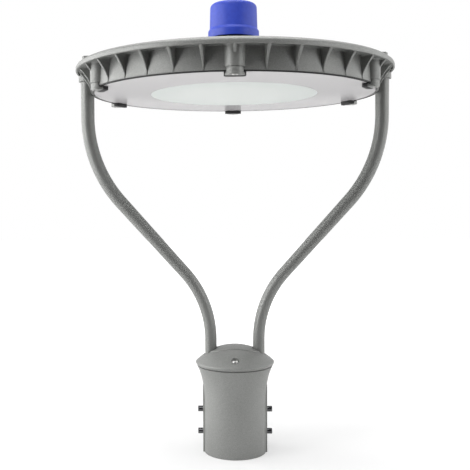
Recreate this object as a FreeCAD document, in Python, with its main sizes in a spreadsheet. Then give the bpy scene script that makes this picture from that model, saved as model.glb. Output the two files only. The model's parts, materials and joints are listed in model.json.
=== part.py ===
"""Street light head on two bent arms, with the collar that slips over the top of a pole.

Millimetres. The origin is the centre of the collar's bottom face and +Z points up. The near
side of the lamp looks along -Y, and the two arms stand in the XZ plane.
"""
import FreeCAD
import Part
import Sketcher
import math
import os

Vector = FreeCAD.Vector
Rotation = FreeCAD.Rotation
Placement = FreeCAD.Placement

# Driving sizes, in millimetres and degrees. Each one is a cell of the sheet with its own name.
SIZES = {
    # collar over the pole
    "pole_bore": 80,
    "collar_wall": 5,
    "bore_lead": 1,
    "pole_stop": 94,
    "stop_plate": 6,
    "stop_window": 26,
    "flare_start": 95,
    "flare_reach": 7.8,
    "flare_wall": 3.5,
    "collar_height": 122.5,
    "set_screw_low": 28.5,
    "set_screw_high": 60,
    "set_screw_dia": 8,
    "set_screw_long": 12,
    "set_screw_back": 0.1,
    "thread_fit": 0.05,
    # lid of the collar
    "seam_gap": 1,
    "lid_seat": 2.3,
    "lid_overhang": 2.2,
    "lid_edge_rise": 4.5,
    "lid_crown_rise": 6.8,
    "lid_crown_in": 1.1,
    "lid_apex": 27.8,
    "lid_wall": 3.2,
    "lid_edge_round": 1.6,
    "lid_pad_long": 28,
    "lid_pad_wide": 20,
    "lid_pad_rise": 0.8,
    "arm_gap": 1.3,
    "lid_screw_reach": 43.5,
    "lid_screw_dia": 5,
    "lid_screw_head": 8.5,
    "lid_screw_head_high": 2.9,
    "lid_screw_long": 16,
    "lid_screw_sink": 9.9,
    "lid_sink_dia": 10,
    "lid_boss_high": 10.5,
    "lid_boss_dia": 8,
    # arms
    "arm_foot_x": 33.7,
    "arm_out": 7.3,
    "arm_lean": 41.9,
    "arm_corner": 212.6,
    "arm_bend_low": 140,
    "arm_bend_high": 178,
    "arm_foot_dia": 16,
    "arm_low_dia": 16.4,
    "arm_high_dia": 18.4,
    "arm_head_dia": 19,
    "arm_wall": 2,
    "arm_fit": 0.15,
    "arm_rise": 7,
    "foot_socket_wall": 3,
    "foot_socket_high": 20,
    "foot_seat": 3,
    "foot_wire_dia": 10,
    "grub_dia": 6,
    "grub_long": 8,
    "grub_rise": 12,
    "plug_flange": 1.5,
    "plug_long": 12,
    "plug_fit": 0.1,
    "arm_bolt_dia": 8,
    "arm_bolt_head": 13,
    "arm_bolt_head_high": 5.3,
    "arm_washer_dia": 16,
    "arm_washer_thick": 1.6,
    # head casting
    "head_base": 500.3,
    "rim_over": 19.7,
    "lip_wall": 3.8,
    "foot_lift": 0.9,
    "lip_high": 0.8,
    "foot_slope": 0.6,
    "drum_foot_in": 0.3,
    "drum_draft": 1.7,
    "drum_wall": 3.8,
    "rim_dia": 433.4,
    "rim_drop": 27.7,
    "rim_side": 4.7,
    "rim_round": 3.3,
    "rim_recess": 2.5,
    "rim_wall": 2.8,
    "crown_in": 11.7,
    "crown_rise": 2,
    "deck_rise": 7,
    "deck_thick": 4.8,
    "housing_dia": 220,
    "housing_high": 49.7,
    "housing_draft": 0.7,
    "housing_wall": 4,
    "pan_step": 1,
    "floor_high": 26.2,
    "floor_thick": 4.5,
    "fin_count": 34,
    "fin_top_wide": 4.2,
    "fin_draft": 2.8,
    "fin_reach": 15.5,
    "fin_edge_bend": 50,
    "rib_thick": 3,
    "rib_rise": 6,
    "boss_in": 3.5,
    "boss_dia": 24,
    "boss_low": 4.9,
    "boss_step": 6,
    "head_socket_dia": 24.4,
    "head_socket_low": 19.7,
    "head_socket_roof": 4.5,
    "scallop_gap": 0.6,
    "wire_high": 24.7,
    "wire_dia": 8,
    "wire_in": 16.3,
    "wire_run": 14,
    # glass, its seal and its clips
    "glass_gap": 0.7,
    "glass_thick": 4,
    "seal_thick": 1.1,
    "ledge_wide": 5.5,
    "ledge_thick": 3,
    "clip_pad_thick": 0.8,
    "clip_thick": 3.5,
    "clip_heel_dia": 21.6,
    "clip_tongue_wide": 25,
    "clip_grip": 6,
    "pad_end_gap": 0.1,
    "pad_end_thick": 2,
    "pad_end_drop": 2.6,
    "clip_tongue_round": 5,
    "clip_fit": 0.3,
    "clip_screw_out": 2.6,
    "clip_screw_dia": 4,
    "clip_screw_head": 7.6,
    "clip_screw_head_high": 2.4,
    "clip_screw_sink": 1,
    "clip_screw_long": 18,
    # light engine
    "board_in": 23,
    "board_thick": 1.6,
    "led_side": 5,
    "led_high": 1,
    "led_ring_step": 20,
    "led_ring_first": 6,
    "board_screw_in": 5,
    "board_screw_dia": 3,
    "board_screw_head": 5.6,
    "board_screw_long": 6,
    "board_head_high": 1.8,
    "reflector_thick": 1,
    "reflector_mouth": 229,
    "reflector_top_out": 4,
    "reflector_lap": 10,
    "reflector_flange": 5,
    "reflector_gap": 1.3,
    # driver chamber
    "driver_long": 130,
    "driver_wide": 72,
    "driver_high": 20,
    "driver_round": 3,
    "driver_ear": 10,
    "driver_ear_thick": 2,
    "driver_screw_dia": 4,
    "driver_screw_head": 7,
    "driver_screw_head_high": 2.4,
    "driver_screw_long": 6,
    "driver_screw_apart": 44,
    "surge_long": 36,
    "surge_wide": 24,
    "surge_high": 24,
    "surge_y": 60,
    "block_long": 42,
    "block_wide": 18,
    "block_high": 16,
    "block_ways": 5,
    "block_y": 58,
    "grommet_in": 11.3,
    "grommet_hole": 10,
    "grommet_bore": 6,
    "grommet_flange": 1.5,
    # cover of the driver chamber
    "cover_seal_thick": 1.5,
    "cover_edge": 3,
    "cover_flat_wide": 15.3,
    "cover_top_dia": 100,
    "cover_top_rise": 15.5,
    "cover_wall": 3,
    "cover_screw_count": 6,
    "cover_screw_in": 3.8,
    "cover_bevel": 1.2,
    "cover_boss_dia": 9.2,
    "cover_screw_dia": 4,
    "cover_screw_head": 7.6,
    "cover_screw_head_high": 2.6,
    "cover_screw_long": 16,
    # socket of the shorting cap
    "socket_seal_thick": 1,
    "socket_flange_dia": 80,
    "socket_flange_thick": 3,
    "socket_face_dia": 64.6,
    "socket_face_rise": 3.6,
    "socket_body_dia": 49,
    "socket_body_deep": 12,
    "tab_wide": 6.3,
    "tab_thick": 0.8,
    "tab_long": 7,
    "face_seal_thick": 1.6,
    "face_seal_wide": 5,
    # shorting cap
    "cap_gap": 0.3,
    "cap_skirt_dia": 70.4,
    "cap_skirt_high": 10,
    "cap_step": 3.5,
    "cap_neck_dia": 66,
    "cap_top_dia": 64,
    "cap_high": 47.8,
    "cap_round": 6,
    "cap_wall": 2.4,
    "cap_base_lift": 0.6,
    "cap_base_thick": 6,
    "blade_ring_dia": 31.8,
    "blade_thick": 1.6,
    "blade_turn": 24,
    "blade_turn_wide": 34,
    "blade_reach": 11,
    "blade_stand": 1.5,
    "blade_play": 0.4,
    "cap_turn": 30,
    "slot_play_turn": 3,
    "link_thick": 1,
    "link_wide": 6,
}

# Sizes that follow from the driving ones.
DERIVED = {
    "bore_r": "=pole_bore / 2",
    "bore_mouth_r": "=bore_r + bore_lead",
    "collar_r": "=bore_r + collar_wall",
    "window_r": "=stop_window / 2",
    "flare_top_r": "=collar_r + flare_reach",
    "flare_run": "=collar_height - flare_start",
    "flare_r": "=(flare_reach * flare_reach + flare_run * flare_run) / (2 * flare_reach)",
    "flare_in_r": "=flare_r + flare_wall",
    "flare_centre": "=collar_r + flare_r",
    "cavity_floor": "=pole_stop + stop_plate",
    "cavity_lift": "=cavity_floor - flare_start",
    "cavity_floor_r": "=flare_centre - sqrt(flare_in_r * flare_in_r - cavity_lift * cavity_lift)",
    "cavity_top_r": "=flare_centre - sqrt(flare_in_r * flare_in_r - flare_run * flare_run)",
    "set_screw_r": "=set_screw_dia / 2",
    "set_hole_r": "=set_screw_r + thread_fit",
    "set_screw_tip": "=bore_r + set_screw_back",
    "across_collar": "=4 * collar_r",
    # lid
    "lid_low": "=collar_height + seam_gap",
    "lid_in_r": "=cavity_top_r + 0.2",
    "lid_seat_r": "=lid_in_r + lid_seat",
    "lid_foot_r": "=flare_top_r + 0.4",
    "lid_r": "=flare_top_r + lid_overhang",
    "lid_edge": "=collar_height + lid_edge_rise",
    "lid_crown": "=collar_height + lid_crown_rise",
    "lid_crown_r": "=lid_r - lid_crown_in",
    "lid_top": "=collar_height + lid_apex",
    "lid_sag": "=lid_top - lid_crown",
    "lid_dome_r": "=(lid_crown_r * lid_crown_r + lid_sag * lid_sag) / (2 * lid_sag)",
    "lid_in_top": "=lid_top - lid_wall",
    "lid_in_low": "=lid_crown - 1.4",
    "lid_in_sag": "=lid_in_top - lid_in_low",
    "lid_in_dome_r": "=(lid_in_r * lid_in_r + lid_in_sag * lid_in_sag) / (2 * lid_in_sag)",
    "lid_dome_z": "=lid_top - lid_dome_r",
    "lid_in_dome_z": "=lid_in_top - lid_in_dome_r",
    "lid_pad_dome_r": "=lid_dome_r + lid_pad_rise",
    "lid_pad_low": "=lid_in_top - lid_wall",
    "lid_pad_run": "=lid_wall * 4",
    "lid_screw_r": "=lid_screw_dia / 2",
    "lid_screw_hole_r": "=lid_screw_r + thread_fit",
    "lid_screw_clear_r": "=lid_screw_r + 0.25",
    "lid_screw_head_r": "=lid_screw_head / 2",
    "lid_screw_seat": "=collar_height + lid_screw_sink",
    "lid_sink_r": "=lid_sink_dia / 2",
    "lid_boss_r": "=lid_boss_dia / 2",
    "lid_boss_low": "=collar_height - lid_boss_high",
    "lid_boss_out_r": "=lid_sink_r + 0.2",
    # rim and lip, from which the head's other reaches are measured
    "rim_r": "=rim_dia / 2",
    "lip_r": "=rim_r - rim_over",
    "rim_under": "=head_base + rim_drop",
    "rim_side_z": "=rim_under + rim_side",
    "rim_top_z": "=rim_side_z + rim_round",
    # arms
    "arm_head_x": "=lip_r + arm_out",
    "arm_top": "=rim_top_z + arm_rise",
    "foot_r": "=arm_foot_dia / 2",
    "low_r": "=arm_low_dia / 2",
    "high_r": "=arm_high_dia / 2",
    "head_r": "=arm_head_dia / 2",
    "foot_in_r": "=foot_r - arm_wall",
    "low_in_r": "=low_r - arm_wall",
    "high_in_r": "=high_r - arm_wall",
    "head_in_r": "=head_r - arm_wall",
    "arm_foot_z": "=cavity_floor + foot_seat",
    "arm_spread": "=arm_head_x - arm_foot_x",
    "arm_corner_high": "=arm_corner + arm_spread / tan(arm_lean)",
    "low_tangent": "=arm_bend_low * tan(arm_lean / 2)",
    "high_tangent": "=arm_bend_high * tan(arm_lean / 2)",
    "low_start_z": "=arm_corner - low_tangent",
    "low_centre_x": "=arm_foot_x + arm_bend_low",
    "slope_x": "=arm_foot_x + low_tangent * sin(arm_lean)",
    "slope_z": "=arm_corner + low_tangent * cos(arm_lean)",
    "slope_run": "=arm_spread / sin(arm_lean) - low_tangent - high_tangent",
    "high_end_z": "=arm_corner_high + high_tangent",
    "high_centre_x": "=arm_head_x - arm_bend_high",
    "foot_run": "=low_start_z - arm_foot_z",
    "head_run": "=arm_top - high_end_z",
    "foot_bore_r": "=foot_r + arm_fit",
    "foot_socket_r": "=foot_bore_r + foot_socket_wall",
    "foot_socket_top": "=cavity_floor + foot_socket_high",
    "foot_bore_deep": "=foot_socket_high - foot_seat",
    "foot_wire_r": "=foot_wire_dia / 2",
    "foot_wire_deep": "=stop_plate + foot_seat + 1",
    "lid_arm_r": "=foot_r + arm_gap",
    "grub_r": "=grub_dia / 2",
    "grub_hole_r": "=grub_r + thread_fit",
    "grub_z": "=cavity_floor + grub_rise",
    "grub_tip": "=arm_foot_x - foot_r",
    "grub_cut": "=2 * arm_foot_x",
    "plug_r": "=head_in_r - plug_fit",
    "plug_flange_r": "=head_r - 0.2",
    "plug_low": "=arm_top - plug_long",
    "plug_high": "=plug_long + plug_flange",
    "arm_bolt_r": "=arm_bolt_dia / 2",
    "arm_bolt_hole_r": "=arm_bolt_r + thread_fit",
    "arm_bolt_clear_r": "=arm_bolt_r + 0.25",
    "arm_bolt_head_r": "=arm_bolt_head / sqrt(3)",
    "arm_bolt_run": "=arm_washer_thick + head_socket_roof + plug_flange + plug_long - 1",
    "arm_washer_r": "=arm_washer_dia / 2",
    "socket_roof_z": "=arm_top + plug_flange",
    "socket_top_z": "=socket_roof_z + head_socket_roof",
    "bolt_seat_z": "=socket_top_z + arm_washer_thick",
    "bolt_tip_z": "=bolt_seat_z - arm_bolt_run",
    # head casting
    "foot_z": "=head_base + foot_lift",
    "lip_top": "=foot_z + lip_high",
    "recess_r": "=lip_r - lip_wall",
    "glass_r": "=recess_r - glass_gap",
    "recess_deep": "=glass_thick + seal_thick",
    "recess_top": "=head_base + recess_deep",
    "ledge_r": "=recess_r - ledge_wide",
    "ledge_top": "=recess_top + ledge_thick",
    "drum_foot_r": "=lip_r - drum_foot_in",
    "drum_foot_z": "=lip_top + foot_slope",
    "drum_top_r": "=drum_foot_r - drum_draft",
    "wall_in_r": "=drum_top_r - drum_wall",
    "deck_under": "=rim_under + rim_recess",
    "rim_in_r": "=rim_r - rim_wall",
    "rim_top_r": "=rim_r - rim_round",
    "crown_r": "=rim_r - crown_in",
    "crown_z": "=rim_top_z + crown_rise",
    "deck_z": "=rim_top_z + deck_rise",
    "deck_out_low": "=crown_z - deck_thick",
    "deck_in_low": "=deck_z - deck_thick",
    "housing_r": "=housing_dia / 2",
    "housing_z": "=head_base + housing_high",
    "housing_top_r": "=housing_r - housing_draft",
    "housing_in_r": "=housing_top_r - housing_wall",
    "pan_r": "=housing_r - pan_step",
    "floor_z": "=head_base + floor_high",
    "floor_low": "=floor_z - floor_thick",
    "fin_root": "=recess_r + 0.4",
    "fin_tip": "=rim_in_r + 0.5",
    "fin_half": "=fin_top_wide / 2",
    "fin_start": "=deck_under + 0.5",
    "fin_run": "=fin_start - lip_top - 0.2",
    "fin_top_r": "=lip_r + fin_reach",
    "fin_cut_r": "=rim_r + 5",
    "fin_cut_low": "=head_base - 2",
    "rib_in_r": "=housing_r - 1.5",
    "rib_in_low": "=deck_z - 2",
    "rib_in_top": "=deck_z + rib_rise",
    "rib_out_r": "=crown_r - 1",
    "rib_out_low": "=crown_z - 1.5",
    "rib_out_top": "=crown_z - 0.3",
    "boss_turn": "=boss_step * 360 / fin_count",
    "boss_r": "=boss_dia / 2",
    "boss_reach": "=lip_r - boss_in",
    "boss_x": "=boss_reach * sin(boss_turn)",
    "boss_y": "=boss_reach * cos(boss_turn)",
    "boss_low_z": "=head_base + boss_low",
    "boss_run": "=fin_start - boss_low_z",
    "head_socket_r": "=head_socket_dia / 2",
    "head_socket_z": "=head_base + head_socket_low",
    "head_socket_run": "=socket_top_z - head_socket_z",
    "head_bore_r": "=head_r + arm_fit",
    "head_bore_deep": "=socket_roof_z - head_socket_z",
    "roof_cut": "=head_socket_roof + 1",
    "scallop_r": "=head_r + scallop_gap",
    "scallop_start": "=head_base - 1",
    "scallop_run": "=head_socket_low + 1",
    "wire_start": "=arm_head_x - wire_in",
    "wire_z": "=head_base + wire_high",
    "wire_r": "=wire_dia / 2",
    # glass and clips
    "glass_top": "=head_base + glass_thick",
    "seal_low": "=head_base + 0.2",
    "seal_high": "=glass_top - seal_low + seal_thick",
    "seal_r": "=recess_r - 0.05",
    "seal_in_r": "=glass_r + 0.05",
    "clip_screw_reach": "=lip_r + clip_screw_out",
    "clip_tongue_tip": "=glass_r - clip_grip",
    "clip_x": "=clip_screw_reach * sin(boss_turn)",
    "clip_y": "=clip_screw_reach * cos(boss_turn)",
    "clip_top": "=head_base - clip_pad_thick",
    "clip_low": "=clip_top - clip_thick",
    "clip_heel_r": "=clip_heel_dia / 2",
    "clip_heel_run": "=boss_low_z - clip_low",
    "clip_cut_r": "=lip_r + clip_fit",
    "clip_cut_run": "=boss_low_z - clip_top + 1",
    "clip_tongue_half": "=clip_tongue_wide / 2",
    "clip_tongue_run": "=boss_reach - clip_tongue_tip",
    "clip_hole_r": "=clip_screw_dia / 2 + thread_fit",
    "clip_screw_r": "=clip_screw_dia / 2",
    "clip_head_r": "=clip_screw_head / 2",
    "clip_sink_r": "=clip_head_r + 0.3",
    "clip_sink_z": "=clip_low + clip_screw_sink",
    "clip_hole_deep": "=clip_screw_long - clip_heel_run + clip_screw_sink + 1",
    "pad_in": "=clip_tongue_tip - pad_end_gap - pad_end_thick",
    "pad_run": "=glass_r - pad_in - 0.5",
    "pad_half": "=clip_tongue_half - 2",
    "pad_end_low": "=clip_top - pad_end_drop",
    "pad_end_high": "=pad_end_drop + clip_pad_thick",
    "pad_end_y": "=pad_end_gap - clip_tongue_tip",
    # light engine
    "board_r": "=pan_r - board_in",
    "board_screw_reach": "=board_r - board_screw_in",
    "board_low": "=floor_low - board_thick",
    "led_low": "=board_low - led_high",
    "board_screw_r": "=board_screw_dia / 2",
    "board_hole_r": "=board_screw_r + thread_fit",
    "board_head_r": "=board_screw_head / 2",
    "board_drill_r": "=board_screw_r + 0.2",
    "board_head_low": "=board_low - reflector_thick",
    "reflector_in_r": "=board_r - reflector_lap",
    "reflector_top_r": "=board_r + reflector_top_out",
    "reflector_top_in": "=reflector_top_r - reflector_thick",
    "reflector_top_low": "=board_low - reflector_thick",
    "reflector_mouth_r": "=reflector_mouth / 2",
    "reflector_mouth_in": "=reflector_mouth_r - reflector_thick",
    "reflector_out_r": "=reflector_mouth_r + reflector_flange",
    "reflector_low": "=glass_top + reflector_gap",
    "reflector_low_top": "=reflector_low + reflector_thick",
    # driver chamber
    "driver_half": "=driver_long / 2",
    "driver_ear_x": "=driver_half + driver_ear / 2",
    "driver_ears_half": "=driver_half + driver_ear",
    "driver_screw_y": "=driver_screw_apart / 2",
    "driver_screw_r": "=driver_screw_dia / 2",
    "driver_hole_r": "=driver_screw_r + thread_fit",
    "driver_head_r": "=driver_screw_head / 2",
    "grommet_reach": "=housing_in_r - grommet_in",
    "grommet_r": "=grommet_hole / 2",
    "grommet_in_r": "=grommet_bore / 2",
    "grommet_flange_r": "=grommet_r + 1.5",
    # cover
    "cover_low": "=housing_z + cover_seal_thick",
    "cover_edge_z": "=cover_low + cover_edge",
    "cover_top_r": "=cover_top_dia / 2",
    "cover_top_z": "=cover_low + cover_top_rise",
    "cover_in_z": "=cover_top_z - cover_wall",
    "cover_in_r": "=cover_top_r - 1.5",
    "cover_flat": "=housing_top_r - cover_flat_wide",
    "cover_flat_in": "=cover_flat - 1.5",
    "cover_screw_reach": "=housing_in_r - cover_screw_in",
    "cover_boss_r": "=cover_boss_dia / 2",
    "cover_boss_run": "=housing_z - floor_z",
    "cover_screw_r": "=cover_screw_dia / 2",
    "cover_hole_r": "=cover_screw_r + thread_fit",
    "cover_clear_r": "=cover_screw_r + 0.25",
    "cover_head_r": "=cover_screw_head / 2",
    # socket of the shorting cap
    "socket_low": "=cover_top_z + socket_seal_thick",
    "socket_flange_r": "=socket_flange_dia / 2",
    "socket_flange_z": "=socket_low + socket_flange_thick",
    "socket_face_r": "=socket_face_dia / 2",
    "socket_face_z": "=socket_flange_z + socket_face_rise",
    "socket_body_r": "=socket_body_dia / 2",
    "socket_body_z": "=cover_top_z - socket_body_deep",
    "cover_window_r": "=socket_body_r + 0.3",
    "face_seal_z": "=socket_face_z + face_seal_thick",
    "face_seal_in": "=socket_face_r - face_seal_wide",
    # shorting cap
    "cap_low": "=face_seal_z + cap_gap",
    "cap_skirt_r": "=cap_skirt_dia / 2",
    "cap_skirt_z": "=cap_low + cap_skirt_high",
    "cap_neck_r": "=cap_neck_dia / 2",
    "cap_neck_z": "=cap_skirt_z + cap_step",
    "cap_top_r": "=cap_top_dia / 2",
    "cap_top_z": "=cap_low + cap_high",
    "cap_skirt_in": "=cap_skirt_r - cap_wall",
    "cap_ledge_z": "=cap_low + cap_base_lift + cap_base_thick",
    "cap_neck_in": "=cap_neck_r - cap_wall",
    "cap_top_in": "=cap_top_r - cap_wall",
    "cap_roof_z": "=cap_top_z - cap_wall",
    "cap_base_z": "=cap_low + cap_base_lift",
    "cap_base_r": "=cap_skirt_in - 0.1",
    "blade_in_r": "=(blade_ring_dia - blade_thick) / 2",
    "blade_out_r": "=(blade_ring_dia + blade_thick) / 2",
    "blade_tip_z": "=socket_face_z - blade_reach",
    "blade_top_z": "=cap_ledge_z + blade_stand",
    "blade_run": "=blade_top_z - blade_tip_z",
    "slot_in_r": "=blade_in_r - blade_play",
    "slot_out_r": "=blade_out_r + blade_play",
    "slot_low": "=blade_tip_z - 1.5",
    "slot_run": "=socket_face_z - slot_low + 1",
    "link_in_r": "=blade_ring_dia / 2 - link_wide / 2",
    "link_out_r": "=blade_ring_dia / 2 + link_wide / 2",
    # keys and seats of the small fixings
    "set_key_r": "=set_screw_r * 0.55",
    "set_key_x": "=set_screw_tip + set_screw_long - set_screw_r * 0.9",
    "lid_key_r": "=lid_screw_r * 0.8",
    "grub_start": "=grub_tip - grub_long",
    "grub_key_r": "=grub_r * 0.6",
    "grub_key_x": "=grub_start - 0.2",
    "clip_key_r": "=clip_screw_r * 0.8",
    "board_key_r": "=board_screw_r * 0.8",
    "cover_key_r": "=cover_screw_r * 0.8",
    "pad_wide": "=2 * pad_half",
    "pad_y": "=-pad_in - pad_run",
    "led_half": "=led_side / 2",
    "driver_y": "=-driver_wide / 2",
    "driver_foot_long": "=2 * driver_ears_half",
    "driver_seat": "=floor_z + driver_ear_thick",
    "driver_screw_tip": "=driver_seat - driver_screw_long",
    "surge_x": "=-surge_long / 2",
    "surge_low_y": "=surge_y - surge_wide / 2",
    "block_x": "=-block_long / 2",
    "block_low_y": "=-block_y - block_wide / 2",
    "well_r": "=block_long / block_ways * 0.3",
    "well_deep": "=block_high / 2",
    "well_low": "=floor_z + block_high / 2",
    "cover_seal_in": "=housing_in_r + 0.5",
    "cover_cut": "=cover_edge + 1",
    "cover_tap_deep": "=cover_screw_long - cover_edge - cover_seal_thick + 1",
    "driver_tap_deep": "=driver_screw_long - driver_ear_thick + 0.1",
    "board_screw_x": "=board_screw_reach * cos(60)",
    "board_screw_y": "=board_screw_reach * sin(60)",
    "reflector_cut": "=reflector_thick + 0.5",
    "board_tap_deep": "=board_screw_long - board_thick - reflector_thick + 0.3",
    "floor_cut": "=floor_thick + 1",
    "grommet_stem_r": "=grommet_r - 0.1",
    "grommet_low": "=floor_low - grommet_flange",
    "grommet_high": "=floor_thick + 2 * grommet_flange",
    "tab_half": "=tab_wide / 2",
    "tab_y": "=-blade_ring_dia / 2",
    "tab_low": "=socket_body_z - tab_long",
}

doc = FreeCAD.newDocument("street_light_head")
sheet = doc.addObject("Spreadsheet::Sheet", "Sizes")
for row, (name, value) in enumerate(list(SIZES.items()) + list(DERIVED.items()), start=1):
    sheet.set("A%d" % row, name)
    sheet.set("B%d" % row, str(value))
    sheet.setAlias("B%d" % row, name)
doc.recompute()

pieces = []


def size(name):
    """Value of a cell; a leading minus turns its sign."""
    if name == "0":
        return 0.0
    if name.startswith("-"):
        return -float(sheet.get(name[1:]))
    return float(sheet.get(name))


def cell(name):
    """Expression for a cell, with the same leading minus."""
    return "-Sizes." + name[1:] if name.startswith("-") else "Sizes." + name


def bind(thing, **cells):
    for prop, name in cells.items():
        thing.setExpression(prop, cell(name))
    return thing


def move(thing, x="0", y="0", z="0", turn=None):
    """Puts a piece at three cells; turn is a rotation of its own."""
    thing.Placement = Placement(Vector(size(x), size(y), size(z)), turn or Rotation())
    for axis, name in (("x", x), ("y", y), ("z", z)):
        if name != "0":
            thing.setExpression("Placement.Base." + axis, cell(name))
    return thing


def part(thing, label):
    """Names a finished sub-part, which also names its file."""
    thing.Label = label
    pieces.append(thing)
    return thing


# Sketches and the features that use them

def new_body(name):
    return doc.addObject("PartDesign::Body", name)


def origin_of(body, role):
    return [f for f in body.Origin.OriginFeatures if f.Role == role][0]


def new_sketch(body, name, role="XZ_Plane", lift="0"):
    """Sketch on one of the body's own planes, lifted along the plane's normal by a cell."""
    sketch = body.newObject("Sketcher::SketchObject", name)
    sketch.AttachmentSupport = (origin_of(body, role), [""])
    sketch.MapMode = "FlatFace"
    if lift != "0":
        sketch.AttachmentOffset = Placement(Vector(0, 0, size(lift)), Rotation())
        sketch.setExpression("AttachmentOffset.Base.z", cell(lift))
    return sketch


def pin(sketch, geo, end, x, y):
    """Fixes a point of a sketch at two cells, measured from the sketch's own origin."""
    for kind, name, axis in (("DistanceX", x, -2), ("DistanceY", y, -1)):
        if name == "0":
            sketch.addConstraint(Sketcher.Constraint("PointOnObject", geo, end, axis))
            continue
        ends = (geo, end, -1, 1) if name.startswith("-") else (-1, 1, geo, end)
        bare = name.lstrip("-")
        number = sketch.addConstraint(Sketcher.Constraint(kind, *ends, size(bare)))
        sketch.setExpression("Constraints[%d]" % number, "Sizes." + bare)


def arc_between(a, b, radius, side):
    """Arc from a to b that bulges to the left of the way (side 1) or to the right (side -1)."""
    way = b - a
    half = way.Length / 2
    rise = radius - math.sqrt(radius * radius - half * half)
    left = Vector(-way.y, way.x, 0).normalize()
    return Part.Arc(a, (a + b) * 0.5 + left * (rise * side), b)


def outline(sketch, corners):
    """Closed outline. A corner is (x, y), or (x, y, radius, side) where an arc starts there."""
    spots = [Vector(size(c[0]), size(c[1]), 0) for c in corners]
    sides = []
    for i, corner in enumerate(corners):
        a = spots[i]
        b = spots[(i + 1) % len(corners)]
        if len(corner) == 2:
            geo = sketch.addGeometry(Part.LineSegment(a, b))
        else:
            geo = sketch.addGeometry(arc_between(a, b, size(corner[2]), corner[3]))
        first = 1 if (sketch.getPoint(geo, 1) - a).Length < (sketch.getPoint(geo, 2) - a).Length else 2
        sides.append((geo, first))
    for i, (geo, first) in enumerate(sides):
        after, start = sides[(i + 1) % len(sides)]
        sketch.addConstraint(Sketcher.Constraint("Coincident", geo, 3 - first, after, start))
        pin(sketch, geo, first, corners[i][0], corners[i][1])
        if len(corners[i]) > 2:
            number = sketch.addConstraint(Sketcher.Constraint("Radius", geo, size(corners[i][2])))
            sketch.setExpression("Constraints[%d]" % number, "Sizes." + corners[i][2])


def rounds(sketch, centres, radius):
    """Circles of one radius at pairs of cells."""
    for x, y in centres:
        circle = Part.Circle(Vector(size(x), size(y), 0), Vector(0, 0, 1), size(radius))
        geo = sketch.addGeometry(circle)
        pin(sketch, geo, 3, x, y)
        number = sketch.addConstraint(Sketcher.Constraint("Radius", geo, size(radius)))
        sketch.setExpression("Constraints[%d]" % number, "Sizes." + radius)


def turned(body, sketch, kind="Revolution"):
    """Turns a sketch round the lamp's axis, to add (Revolution) or to cut (Groove)."""
    feature = body.newObject("PartDesign::" + kind, sketch.Name + "_" + kind.lower())
    feature.Profile = sketch
    feature.ReferenceAxis = (sketch, ["V_Axis"])
    feature.Angle = 360
    return feature


def raised(body, sketch, length, down=False, taper=None, both=False):
    """Pads a sketch along its normal."""
    feature = body.newObject("PartDesign::Pad", sketch.Name + "_pad")
    feature.Profile = sketch
    feature.Reversed = down
    if both:
        feature.SideType = "Symmetric"
    bind(feature, Length=length)
    if taper:
        bind(feature, TaperAngle=taper)
    return feature


def cut(body, sketch, length, up=False, both=False):
    """Cuts a sketch into the body, against its normal or, with up, along it."""
    doc.recompute()
    before = body.Shape.Volume
    feature = body.newObject("PartDesign::Pocket", sketch.Name + "_pocket")
    feature.Profile = sketch
    feature.Reversed = up
    if both:
        feature.SideType = "Symmetric"
    bind(feature, Length=length)
    doc.recompute()
    if not body.Shape.Volume < before - 0.01:
        raise RuntimeError("nothing was cut by " + sketch.Name)
    return feature


def repeated(body, feature, count):
    """Repeats a feature round the lamp's axis."""
    pattern = body.newObject("PartDesign::PolarPattern", feature.Name + "_ring")
    pattern.Originals = [feature]
    pattern.Axis = (origin_of(body, "Z_Axis"), [""])
    pattern.Angle = 360
    pattern.Occurrences = int(size(count))
    pattern.setExpression("Occurrences", cell(count))
    body.Tip = pattern
    return pattern


def ring_edges(shape, radius, height):
    """Names of the full circles round the axis with this radius and height."""
    names = []
    for number, edge in enumerate(shape.Edges, start=1):
        if edge.Degenerated:
            continue
        curve = edge.Curve
        if isinstance(curve, Part.Circle) and abs(curve.Radius - radius) < 0.01:
            if abs(curve.Center.z - height) < 0.01 and abs(curve.Center.x) + abs(curve.Center.y) < 0.01:
                names.append("Edge%d" % number)
    return names


def softened(body, feature, rings, kind, **cells):
    """Fillet or chamfer on rings, each a pair of cells: radius and height."""
    doc.recompute()
    edges = []
    for radius, height in rings:
        edges += ring_edges(feature.Shape, size(radius), size(height))
    soft = body.newObject("PartDesign::" + kind, feature.Name + "_" + kind.lower())
    soft.Base = (feature, edges)
    return bind(soft, **cells)


# Solids and booleans

def solid(kind, name, x="0", y="0", z="0", turn=None, **cells):
    thing = bind(doc.addObject("Part::" + kind, name), **cells)
    return move(thing, x, y, z, turn)


def rod(name, radius, run, x="0", y="0", z="0", turn=None):
    return solid("Cylinder", name, x, y, z, turn, Radius=radius, Height=run)


def prism(name, radius, run, x="0", y="0", z="0", turn=None):
    return solid("Prism", name, x, y, z, turn, Circumradius=radius, Height=run)


def block(name, long, wide, high, x="0", y="0", z="0"):
    return solid("Box", name, x, y, z, None, Length=long, Width=wide, Height=high)


def joined(name, things):
    thing = doc.addObject("Part::MultiFuse", name)
    thing.Shapes = things
    return thing


def less(name, base, tool):
    thing = doc.addObject("Part::Cut", name)
    thing.Base = base
    thing.Tool = tool
    return thing


def group(name, things):
    thing = doc.addObject("Part::Compound", name)
    thing.Links = things
    return thing


def copy_of(form, name, spot, turn=None):
    """A form used once more, at another place."""
    thing = group(name, [form])
    thing.Placement = Placement(spot, turn or Rotation())
    return thing


def about_z(degrees):
    return Rotation(Vector(0, 0, 1), degrees)


def ring_of(form, name, angles):
    """Copies of a form turned round the lamp's axis, as one sub-part of separate solids."""
    copies = [copy_of(form, "%s_%d" % (name, i), Vector(), about_z(a)) for i, a in enumerate(angles, 1)]
    return group(name, copies)


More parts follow.
